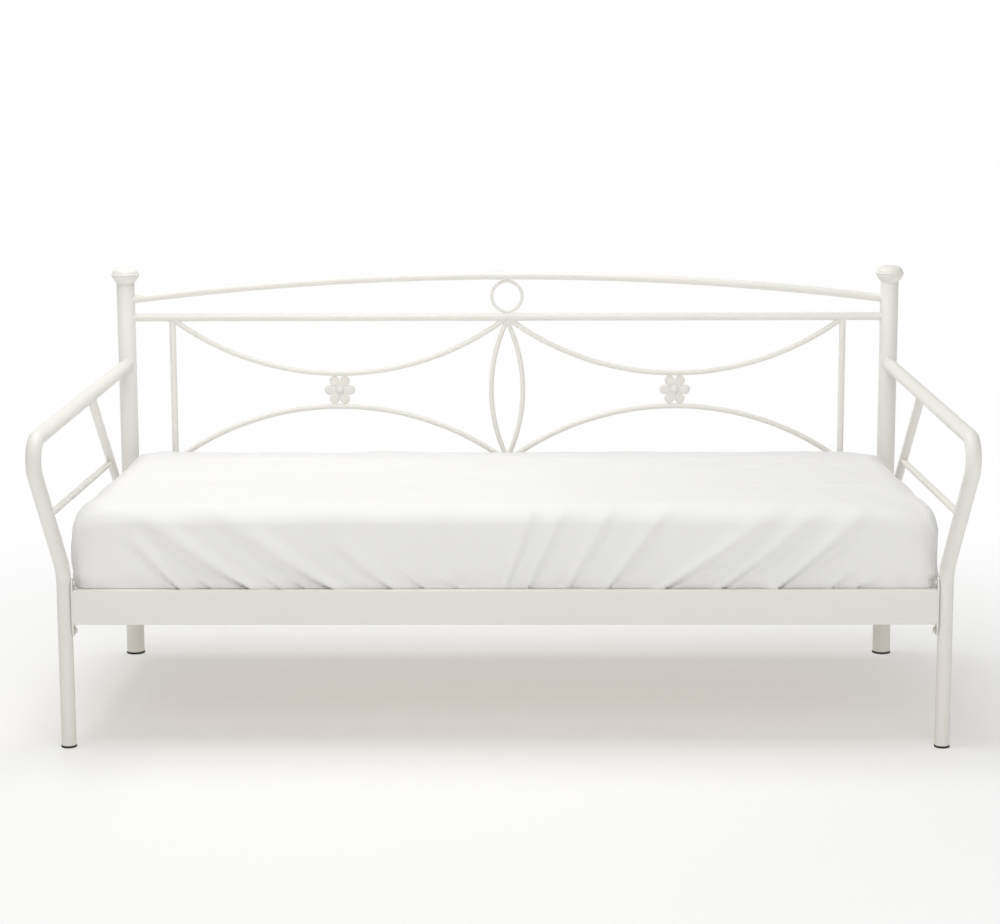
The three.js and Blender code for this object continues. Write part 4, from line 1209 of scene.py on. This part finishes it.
def random_folds(seed, half, count):
    """Folds for a side that carries no special ones: they lean towards the nearer corner."""
    rng = np.random.default_rng(seed)
    folds = []
    for foot in np.linspace(-half * 0.86, half * 0.86, count) + rng.uniform(-0.03, 0.03, count):
        lean = math.copysign(rng.uniform(0.08, 0.20), foot)
        rise, height, width = (rng.uniform(*ends) for ends in ((0.5, 0.98), (0.003, 0.007), (0.015, 0.026)))
        folds.append((foot, foot + lean, rise, height, width, 0.006))
    return folds


CROWN = 0.0035  # how far the middle of the top stands up
PUCKER_HEIGHT = 0.0030  # of the small puckers along the rail
SLACK_HEIGHT = 0.0022  # of the slow waves down the sides
GATHER_HEIGHT = 0.0005  # of the gathers that the elastic makes underneath
UNEVEN_HEIGHT = 0.0016  # of the slow waves of the top
FINE_HEIGHT = 0.00035  # and of its fine ones
SHEET_GRID = (352, 130)  # points along and across the top
SHEET_CORNER = 0.038  # rounding of the sheet's upright corners
BED_EDGE = 0.046  # height of the soft edge round the top
SHEET_BELLY = 0.0078  # how far the cloth swells out over the long rails
SHEET_LIP = 0.0026  # radius of the turn where it rests on the rail
SHEET_LIP_HEIGHT = 0.3838  # where that turn begins
SHEET_LIP_END = (0.0028, 0.38115, -1.2)  # inset, height and tilt where that turn ends
SHEET_TUCK = 0.0255  # how far it goes in under the mattress
SHEET_TUCK_HEIGHT = 0.0108
SHEET_TUCK_START = 0.0032  # inset where the tuck begins
SHEET_FOOT = BED_LOW[2] + 0.0011
SHEET_HEM_LOW = BED_LOW[2] + 0.0013
SEAM_OVAL = (0.0026, 0.0009)  # half width and half thickness
SEAM_LIFT = 0.0002  # of a seam's middle above the cloth
HEM_OVAL = (0.0042, 0.0008)
HEM_SINK = 0.0004  # of the hem's middle below the cloth


def soft_shoulder(fall, rows):
    """Rows over a soft edge as inset, height below the top and tilt of the outward direction. The slope grows
    as length to the power 1.25 up to 60 degrees, over most of the way, then turns quickly upright."""
    length = np.linspace(0.0, 1.0, 20 * rows + 1)
    most = 0.84
    gentle = 60.0 * np.minimum(length / most, 1.0) ** 1.25
    slope = np.radians(gentle + 30.0 * np.clip((length - most) / (1 - most), 0.0, 1.0))
    step = 0.5 * (slope[1:] + slope[:-1])
    out = np.concatenate([[0.0], np.cumsum(np.cos(step))])
    below = np.concatenate([[0.0], np.cumsum(np.sin(step))])
    size = fall / below[-1]
    picked = np.stack([(out[-1] - out) * size, below * size, math.pi / 2 - slope], 1)
    return picked[::20]


# How far each corner of the bed sinks and over what reach, as (side, end, metres down, reach).
CORNER_SAGS = (
    (-1, -1, 0.026, 0.066),
    (1, -1, 0.037, 0.088),
    (-1, 1, 0.016, 0.060),
    (1, 1, 0.024, 0.075),
)
SAG_HEIGHTS = (0.47, 0.57)  # from where up to where the sinking grows to its full depth


def corner_sag(points, half):
    """How far the soft corners sink under the drawn-down cloth: depth x exp(-(d/reach)^2), where d is the
    distance to the plan's corner, fading out down the side."""
    flat = points - BED_CENTRE
    sink = np.zeros(len(points))
    for side, end, depth, reach in CORNER_SAGS:
        away = np.hypot(half[0] - side * flat[:, 0], half[1] - end * flat[:, 1])
        sink += depth * np.exp(-((away / reach) ** 2))
    return sink * smooth(*SAG_HEIGHTS, points[:, 2])


def sheet_skirt():
    """Rows down the sheet's side as (inset, height, tilt of the outward direction, distance down): the soft
    shoulder, an upright side, a tight turn in over the rail, and a quarter ellipse in under the mattress."""
    top = SHEET_HIGH[2]
    shoulder = soft_shoulder(BED_EDGE, 16) * (1, -1, 1) + (0, top, 0)
    share = np.linspace(0.0, 1.0, 26)[1:]
    upright = np.zeros((len(share), 3))
    upright[:, 1] = top - BED_EDGE + share * (SHEET_LIP_HEIGHT - top + BED_EDGE)
    turn = np.linspace(0.0, math.radians(80), 6)[1:]
    lip_height = SHEET_LIP_HEIGHT - SHEET_LIP * np.sin(turn)
    lip = np.stack([SHEET_LIP * (1 - np.cos(turn)), lip_height, -turn], 1)
    turn = np.linspace(0.0, math.radians(84), 9)
    tuck_height = SHEET_FOOT + SHEET_TUCK_HEIGHT * (1 - np.sin(turn))
    tuck = np.stack([SHEET_TUCK_START + SHEET_TUCK * (1 - np.cos(turn)), tuck_height, -turn], 1)
    rows = np.concatenate([shoulder, upright, lip, [SHEET_LIP_END], tuck])
    inset, height, tilt = rows.T
    down = np.concatenate([[0.0], np.cumsum(np.hypot(np.diff(inset), np.diff(height)))])
    return np.stack([inset, height, tilt, down], 1)


def make_sheet():
    """The fitted sheet: one skin over the top and sides. It is lifted along its outward direction by folds,
    puckers and waves on the sides, and by a crown, wrinkles and waves on the top. Along the front and the
    rear it swells out between edge and rail as a sine to the power 1.6, and its corners sink."""
    half = (SHEET_HIGH - SHEET_LOW) / 2
    skirt = sheet_skirt()
    skin = WrappedBlock(half[0], half[1], SHEET_CORNER, BED_CENTRE, SHEET_HIGH[2], skirt, SHEET_GRID)
    side_down = float(np.interp(-SHEET_LIP_HEIGHT, -skirt[:, 1], skirt[:, 3]))
    lift = np.zeros(len(skin.points))
    for number, seed in enumerate((11, 12, 13, 14)):
        along, down, share = skin.side_place(number)
        reach = half[0] if number % 2 == 0 else half[1]
        folds = FRONT_FOLDS if number == 0 else random_folds(seed, reach, 13 if number == 2 else 6)
        total = np.zeros_like(lift)
        for foot, head, rise, height, width, bow in folds:
            total += fold(along, down, foot, head, side_down, side_down * (1 - rise), height, width, bow)
        pucker = quiet_waves(along, down * 0.35, seed + 20, 9, 0.11, 0.030)
        total += PUCKER_HEIGHT * pucker * smooth(side_down - 0.045, side_down - 0.004, down)
        slack = quiet_waves(along, down, seed + 40, 7, 0.55, 0.14)
        total += SLACK_HEIGHT * slack * smooth(-0.02, 0.05, down)
        if number in CORNER_SWELL:
            middle, size = (-reach + 0.09) * (2 - number), CORNER_SWELL[number]
            total += size * np.exp(-(((along - middle) / 0.14) ** 2)) * smooth(0.0, 0.07, down)
        lift += share * total
    rail_pinch = 1 - smooth(side_down - 0.004, side_down + 0.0085, skin.down)
    lift = np.where(skin.on_top, lift, lift * rail_pinch)
    swell = np.sin(np.clip(skin.down / side_down, 0.0, 1.0) * math.pi / 2) ** 1.6
    swell *= 1 - smooth(side_down + 0.0040, side_down + 0.0095, skin.down)
    facing = np.where(skin.on_top, 0.0, np.abs(skin.outwards[skin.column, 1]))
    belly = SHEET_BELLY * swell * smooth(0.3, 1.0, facing)
    gathers = quiet_waves(skin.points[:, 0], skin.points[:, 1], 77, 14, 0.035, 0.016)
    gathered = np.where(skin.on_top, 0.0, smooth(side_down + 0.012, side_down + 0.030, skin.down))
    lift += GATHER_HEIGHT * gathered * gathers

    flat = skin.from_centre()
    from_rim = [half[axis] - skirt[0, 0] - np.abs(flat[:, axis]) for axis in (0, 1)]
    inner = np.where(skin.on_top, np.clip(np.minimum(*from_rim), 0.0, None), 0.0)
    crown = CROWN * smooth(0.0, 0.45, from_rim[0]) * smooth(0.0, 0.30, from_rim[1])
    over = np.where(skin.on_top, crown, 0.0)
    for x, y, half_length, degrees, height, width in TOP_WRINKLES:
        turn = math.radians(degrees)
        dx, dy = flat[:, 0] - x, skin.points[:, 1] - y
        run = dx * math.cos(turn) + dy * math.sin(turn)
        across = -dx * math.sin(turn) + dy * math.cos(turn) + 0.02 * np.sin(run * 9.0)
        fade = np.exp(-((run / half_length) ** 4))
        over += height * fade * np.exp(-((across / width) ** 2)) * smooth(0.0, 0.05, inner)
    uneven = quiet_waves(flat[:, 0], flat[:, 1] * 1.6, 5, 9, 0.8, 0.25)
    fine = quiet_waves(flat[:, 0] * 0.6, flat[:, 1] * 1.5, 6, 12, 0.16, 0.05)
    over += smooth(0.0, 0.10, inner) * (UNEVEN_HEIGHT * uneven + FINE_HEIGHT * fine)

    points = skin.points + (lift + over)[:, None] * skin.normals
    points[:, 1] += belly * np.sign(flat[:, 1])
    points[:, 2] -= corner_sag(skin.points, half)
    cloth = (points, skin.quads, NO_TRIANGLES)
    made = soft_piece("sheet_cloth", cloth, PERCALE, "sheet_cotton", "fitted_sheet")
    lay_cut(made, cut_layout(skin))
    seams = make_sheet_seams(skin, points)
    drop = float(skirt[-1, 3] - skirt[0, 0])
    width, length = 2 * (half[1] + drop), 2 * (half[0] + drop)


def lay_cut(made, cut):
    """Writes each vertex's place on the cut cloth into the piece's own map, which the weave follows."""
    corner = np.zeros(len(made.data.loops), np.int32)
    made.data.loops.foreach_get("vertex_index", corner)
    layer = made.data.uv_layers.new(name="cut")
    layer.data.foreach_set("uv", cut[corner].astype(np.float32).ravel())


def cut_layout(skin):
    """Where each vertex lies on the flat cut cloth: its own place on the top, and on the sides its column's
    place on the rim, carried straight out by its distance down."""
    flat = skin.points[:, :2].copy()
    side = ~skin.on_top
    column = skin.column[side]
    edge = skin.rim[column]
    flat[side] = edge[:, :2] + skin.down[side, None] * skin.outwards[column, :2]
    return flat


def make_sheet_seams(skin, points):
    """A narrow felled seam down each corner, and the elastic hem along the lower edge: flat ovals carried
    along the cloth's own rows and columns."""
    nx, ny = skin.counts
    first = nx * ny
    rows = (len(points) - first) // skin.around
    grid = points[first:].reshape(rows, skin.around, 3)
    normals = skin.normals[first:].reshape(rows, skin.around, 3)
    turn = np.arange(12) * 2 * math.pi / 12
    shells = []
    for column in (0, nx - 1, nx + ny - 2, 2 * nx + ny - 3):
        line, up = grid[:, column], normals[:, column]
        line = line + SEAM_LIFT * up
        tangent = unit(np.gradient(line, axis=0))
        across = unit(np.cross(up, tangent))
        taper = smooth(0, 3, np.arange(rows)) * 0.6 + 0.4
        ring = (
            SEAM_OVAL[0] * np.cos(turn)[None, :, None] * across[:, None]
            + SEAM_OVAL[1] * np.sin(turn)[None, :, None] * up[:, None]
        )
        shells.append(closed_tube(line[:, None] + taper[:, None, None] * ring))
    seam = piece("sheet_corner_seams", shells, PERCALE, (), "mattress", sharp=None)
    outward(seam)
    line, up = grid[-1], normals[-1]
    line = line - HEM_SINK * up
    line[:, 2] = np.maximum(line[:, 2], SHEET_HEM_LOW)
    tangent = unit(np.roll(line, -1, 0) - np.roll(line, 1, 0))
    across = unit(np.cross(up, tangent))
    swell = 1 + 0.22 * quiet_waves(line[:, 0], line[:, 1], 91, 10, 0.030, 0.014)
    ring = (
        HEM_OVAL[0] * np.cos(turn)[None, :, None] * across[:, None]
        + HEM_OVAL[1] * swell[:, None, None] * np.sin(turn)[None, :, None] * up[:, None]
    )
    hem = soft_piece("sheet_elastic_hem", closed_ring(line[:, None] + ring), PERCALE, "sheet_cotton")
    outward(hem)
    for made in (seam, hem):
        places = np.zeros(len(made.data.vertices) * 3, np.float32)
        made.data.vertices.foreach_get("co", places)
        places = places.reshape(-1, 3)
        lay_cut(made, places[:, :2] + places[:, 2:])
    return [seam, hem]


MATTRESS_PULL = 0.0035  # how far the mattress's sides draw in between its corners
MATTRESS_FOOT = 0.047  # how far in its underside's edge curves
MATTRESS_FOOT_HEIGHT = 0.032  # and how far up
MATTRESS_PLAY = (0.001, 0.001, 0.0)  # left for the cloth at its sides
MATTRESS_TOP_PLAY = 0.003  # and above it
MATTRESS_GRID = (150, 68)
QUILT = 0.115  # along a diamond
QUILT_GRID = (300, 132)
SEAM_DEPTH = 0.0032


def make_mattress():
    """The mattress: a skin with rounded edges, whose sides are drawn in between the corners by a squared
    cosine of the place along each side, and whose top is crowned as a product of two parabolas. Its underside
    is quilted in diamonds, along the zeros of the product of two sines: the seams sink in and the pads rest
    flat."""
    half = (BED_HIGH - BED_LOW) / 2 - MATTRESS_PLAY
    low, top = BED_LOW[2], BED_HIGH[2] - MATTRESS_TOP_PLAY
    rows = [(inset, top - below, tilt, 0.0) for inset, below, tilt in soft_shoulder(BED_EDGE, 10)]
    upright = low - top + BED_EDGE + MATTRESS_FOOT_HEIGHT
    for share in np.linspace(0.0, 1.0, 10)[1:-1]:
        rows.append((0.0, top - BED_EDGE + share * upright, 0.0, share))
    for angle in np.linspace(0.0, math.pi / 2, 12):
        height = low + MATTRESS_FOOT_HEIGHT * (1 - math.sin(angle))
        rows.append((MATTRESS_FOOT * (1 - math.cos(angle)), height, -angle, 1.0))
    skin = WrappedBlock(half[0], half[1], BED_CORNER, BED_CENTRE, top, rows, MATTRESS_GRID)
    flat = skin.from_centre()
    pull_x = np.cos(flat[:, 1] / half[1] * math.pi / 2) ** 2 * abs(skin.normals[:, 0])
    pull_y = np.cos(flat[:, 0] / half[0] * math.pi / 2) ** 2 * abs(skin.normals[:, 1])
    pull = np.where(skin.on_top, 0.0, MATTRESS_PULL * (0.35 + 0.65 * (pull_x + pull_y)))
    crown = CROWN * (1 - (flat[:, 0] / half[0]) ** 2) * (1 - (flat[:, 1] / half[1]) ** 2)
    points = skin.points - pull[:, None] * skin.normals * (1, 1, 0)
    points[:, 2] += np.where(skin.on_top, crown, 0.0) - corner_sag(skin.points, half)

    nx, ny = QUILT_GRID
    fine = WrappedBlock(half[0], half[1], BED_CORNER, BED_CENTRE, low, [rows[-1]] * 2, QUILT_GRID).patch
    x, y = fine[..., 0], fine[..., 1]
    pad = np.abs(np.sin((x + y) * math.pi / QUILT) * np.sin((x - y) * math.pi / QUILT))
    seam = np.exp(-((pad / 0.16) ** 2))
    inset = np.minimum(half[0] - abs(x - BED_CENTRE[0]), half[1] - abs(y - BED_CENTRE[1]))
    fine[..., 2] += SEAM_DEPTH * seam * smooth(MATTRESS_FOOT + 0.004, MATTRESS_FOOT + 0.03, inset)
    under = grid_quads(ny, nx, wrap_columns=False)[:, ::-1]
    return skin, points, fine, under


def mattress_piece():
    """Joins the mattress's skin and its quilted underside by one ring of triangles round the rim."""
    skin, points, fine, under = make_mattress()
    count = len(points)
    ny, nx = fine.shape[:2]
    rim = grid_rim(ny, nx)
    fine = fine.reshape(-1, 3)
    triangles = stitched(skin.last_ring, points[skin.last_ring], rim + count, fine[rim])
    vertices = np.concatenate([points, fine])
    quads = np.concatenate([skin.quads, under + count])
    body = (vertices, quads, triangles)
    made = soft_piece("mattress_body", body, TICKING, "mattress_ticking", "mattress")
    outward(made)


def stitched(outer, outer_points, inner, inner_points):
    """Triangles between two closed rings of different counts that start at the same corner: the two rings are
    walked together, always stepping on the one that is behind in its share of the way round."""
    def share(points):
        steps = np.linalg.norm(np.roll(points, -1, 0) - points, axis=1)
        return np.concatenate([[0.0], np.cumsum(steps) / steps.sum()])

    outer_share, inner_share = share(outer_points), share(inner_points)
    merged = np.concatenate([outer_share[1:], inner_share[1:]])
    is_outer = np.concatenate([np.ones(len(outer), bool), np.zeros(len(inner), bool)])
    order = np.argsort(merged, kind="stable")
    is_outer = is_outer[order]
    step_outer, step_inner = np.cumsum(is_outer), np.cumsum(~is_outer)
    before_outer, before_inner = step_outer - is_outer, step_inner - ~is_outer
    a = outer[before_outer % len(outer)]
    b = inner[before_inner % len(inner)]
    c = np.where(is_outer, outer[step_outer % len(outer)], inner[step_inner % len(inner)])
    return np.stack([a, b, c], -1)


# ---------------------------------------------------------------- studio


FLOOR_SPOKES = 96
FLOOR_RINGS = (0.4, 60.0, 40)  # radius of the first and the last ring, and how many
FLOOR_FADE = (1.05, 2.9)  # from where to where the floor brightens into white
# The floor's emission is a painted glow, set so that the shadow under the bed stays light; it also lights the
# bed faintly from below.
FLOOR_AND_GLOW_SOCKETS = (
    ("Base Color", (0.63, 0.632, 0.628, 1.0)),
    ("Roughness", 0.75),
    ("Specular IOR Level", 0.1),
    ("Emission Color", (1.0, 0.992, 0.972, 1.0)),
    ("Emission Strength", 0.345),
)
FLOOR_WHITE = 0.995

HORIZON = (0.08, 0.30)  # rise of a direction between which the air changes from horizon to ceiling
SIDE_WALLS = (0.12, 0.70)  # squared sideways part of a direction between which it darkens to the sides
AIR = (("To Min", 1.0, 0.52), ("To Max", 0.50, 0.20))  # horizon and ceiling: in the middle, at the sides

# Soft boxes: place, target, size and power.
SOFT_BOXES = (
    ("overhead_box", (-0.75, 0.12, 3.6), (-0.2, 0.1, 0.3), (3.2, 2.1), 76.0),
    ("front_fill", (0.7, -4.0, 3.2), (0.1, 0.0, 0.5), (2.4, 1.6), 33.0),
)

CAMERA_PLACE = (0.055, -5.594, 1.511)
CAMERA_TURN = (81.05, 0.18, 0.665)  # in degrees
CAMERA_LENS = 82.33
CAMERA_REACH = (0.1, 300.0)  # nearest and furthest it sees


def fade_node(tree, ends, sockets=()):
    """A smooth change between two values of what it is fed, as 3t^2 - 2t^3."""
    ends = (("From Min", ends[0]), ("From Max", ends[1]))
    return shader_node(tree, "MapRange", (*ends, *sockets), interpolation_type="SMOOTHSTEP")


def put_in_scene(name, data):
    """A new object of the scene that holds `data`."""
    made = bpy.data.objects.new(name, data)
    bpy.context.scene.collection.objects.link(made)
    return made


def make_floor():
    """A wide pale floor of rings about the origin, at radii in a geometric row and closed by a fan in the
    middle. Near the bed it has a faint painted glow, its emission, which lightens the shadow under the bed and
    lights the bed a little from below. It brightens into white with distance from the bed."""
    rings = np.concatenate([[0.02], np.geomspace(*FLOOR_RINGS)])
    here = np.arange(FLOOR_SPOKES)
    turn = here * 2 * math.pi / FLOOR_SPOKES
    points = np.zeros((len(rings), FLOOR_SPOKES, 3))
    points[..., 0] = rings[:, None] * np.cos(turn)
    points[..., 1] = rings[:, None] * np.sin(turn)
    points = np.concatenate([points.reshape(-1, 3), [[0.0, 0.0, 0.0]]])
    quads = grid_quads(len(rings), FLOOR_SPOKES)[:, ::-1]
    hub = np.full(FLOOR_SPOKES, len(points) - 1)
    middle = np.stack([hub, here, (here + 1) % FLOOR_SPOKES], -1)
    mesh = mesh_of("studio_floor", [(points, quads, middle)])
    floor = put_in_scene("studio_floor", mesh)
    material = bpy.data.materials.new("pale_floor_with_painted_glow")
    tree = bare_tree(material)
    coords = shader_node(tree, "TexCoord")
    length = shader_node(tree, "VectorMath", operation="LENGTH")
    fade = fade_node(tree, FLOOR_FADE)
    matte_with_glow = shader_node(tree, "BsdfPrincipled", FLOOR_AND_GLOW_SOCKETS)
    white = shader_node(tree, "Emission", [("Strength", FLOOR_WHITE)])
    mix = shader_node(tree, "MixShader")
    output = shader_node(tree, "OutputMaterial")
    tree.links.new(coords.outputs["Object"], length.inputs[0])
    tree.links.new(length.outputs["Value"], fade.inputs["Value"])
    tree.links.new(fade.outputs["Result"], mix.inputs["Fac"])
    tree.links.new(matte_with_glow.outputs["BSDF"], mix.inputs[1])
    tree.links.new(white.outputs["Emission"], mix.inputs[2])
    tree.links.new(mix.outputs["Shader"], output.inputs["Surface"])
    mesh.materials.append(material)


def make_air():
    """Light from all round: it falls off from the horizon up, and towards both sides."""
    world = bpy.data.worlds.new("studio_air")
    bpy.context.scene.world = world
    tree = bare_tree(world)
    coords = shader_node(tree, "TexCoord")
    split = shader_node(tree, "SeparateXYZ")
    height = fade_node(tree, HORIZON)
    side = shader_node(tree, "Math", operation="MULTIPLY")
    tree.links.new(split.outputs["X"], side.inputs[0])
    tree.links.new(split.outputs["X"], side.inputs[1])
    for socket, middle, ends in AIR:
        wall = fade_node(tree, SIDE_WALLS, (("To Min", middle), ("To Max", ends)))
        tree.links.new(side.outputs[0], wall.inputs["Value"])
        tree.links.new(wall.outputs["Result"], height.inputs[socket])
    background = shader_node(tree, "Background", [("Color", (1.0, 1.0, 1.0, 1.0))])
    output = shader_node(tree, "OutputWorld")
    tree.links.new(coords.outputs["Generated"], split.inputs[0])
    tree.links.new(split.outputs["Z"], height.inputs["Value"])
    tree.links.new(height.outputs["Result"], background.inputs["Strength"])
    tree.links.new(background.outputs["Background"], output.inputs["Surface"])


def area_light(name, place, target, size, power):
    """A soft box at `place`, turned towards `target`."""
    light = bpy.data.lights.new(name, "AREA")
    light.shape = "RECTANGLE"
    light.size, light.size_y = size
    light.energy = power
    made = put_in_scene(name, light)
    made.location = place
    made.rotation_euler = (Vector(target) - Vector(place)).to_track_quat("-Z", "Y").to_euler()


def make_studio():
    make_floor()
    make_air()
    for box in SOFT_BOXES:
        area_light(*box)
    bpy.context.scene.view_settings.view_transform = "Standard"
    bpy.context.scene.view_settings.look = "None"


def make_camera():
    camera = bpy.data.cameras.new("studio_camera")
    camera.sensor_width = 36.0
    camera.lens = CAMERA_LENS
    camera.clip_start, camera.clip_end = CAMERA_REACH
    made = put_in_scene("studio_camera", camera)
    made.location = CAMERA_PLACE
    made.rotation_euler = [math.radians(angle) for angle in CAMERA_TURN]
    bpy.context.scene.camera = made


make_camera()
make_studio()
make_posts()
make_back_rails()
make_ring()
make_back_bays()
make_side_frames()
make_bed_rails()
make_slats()
mattress_piece()
make_sheet()
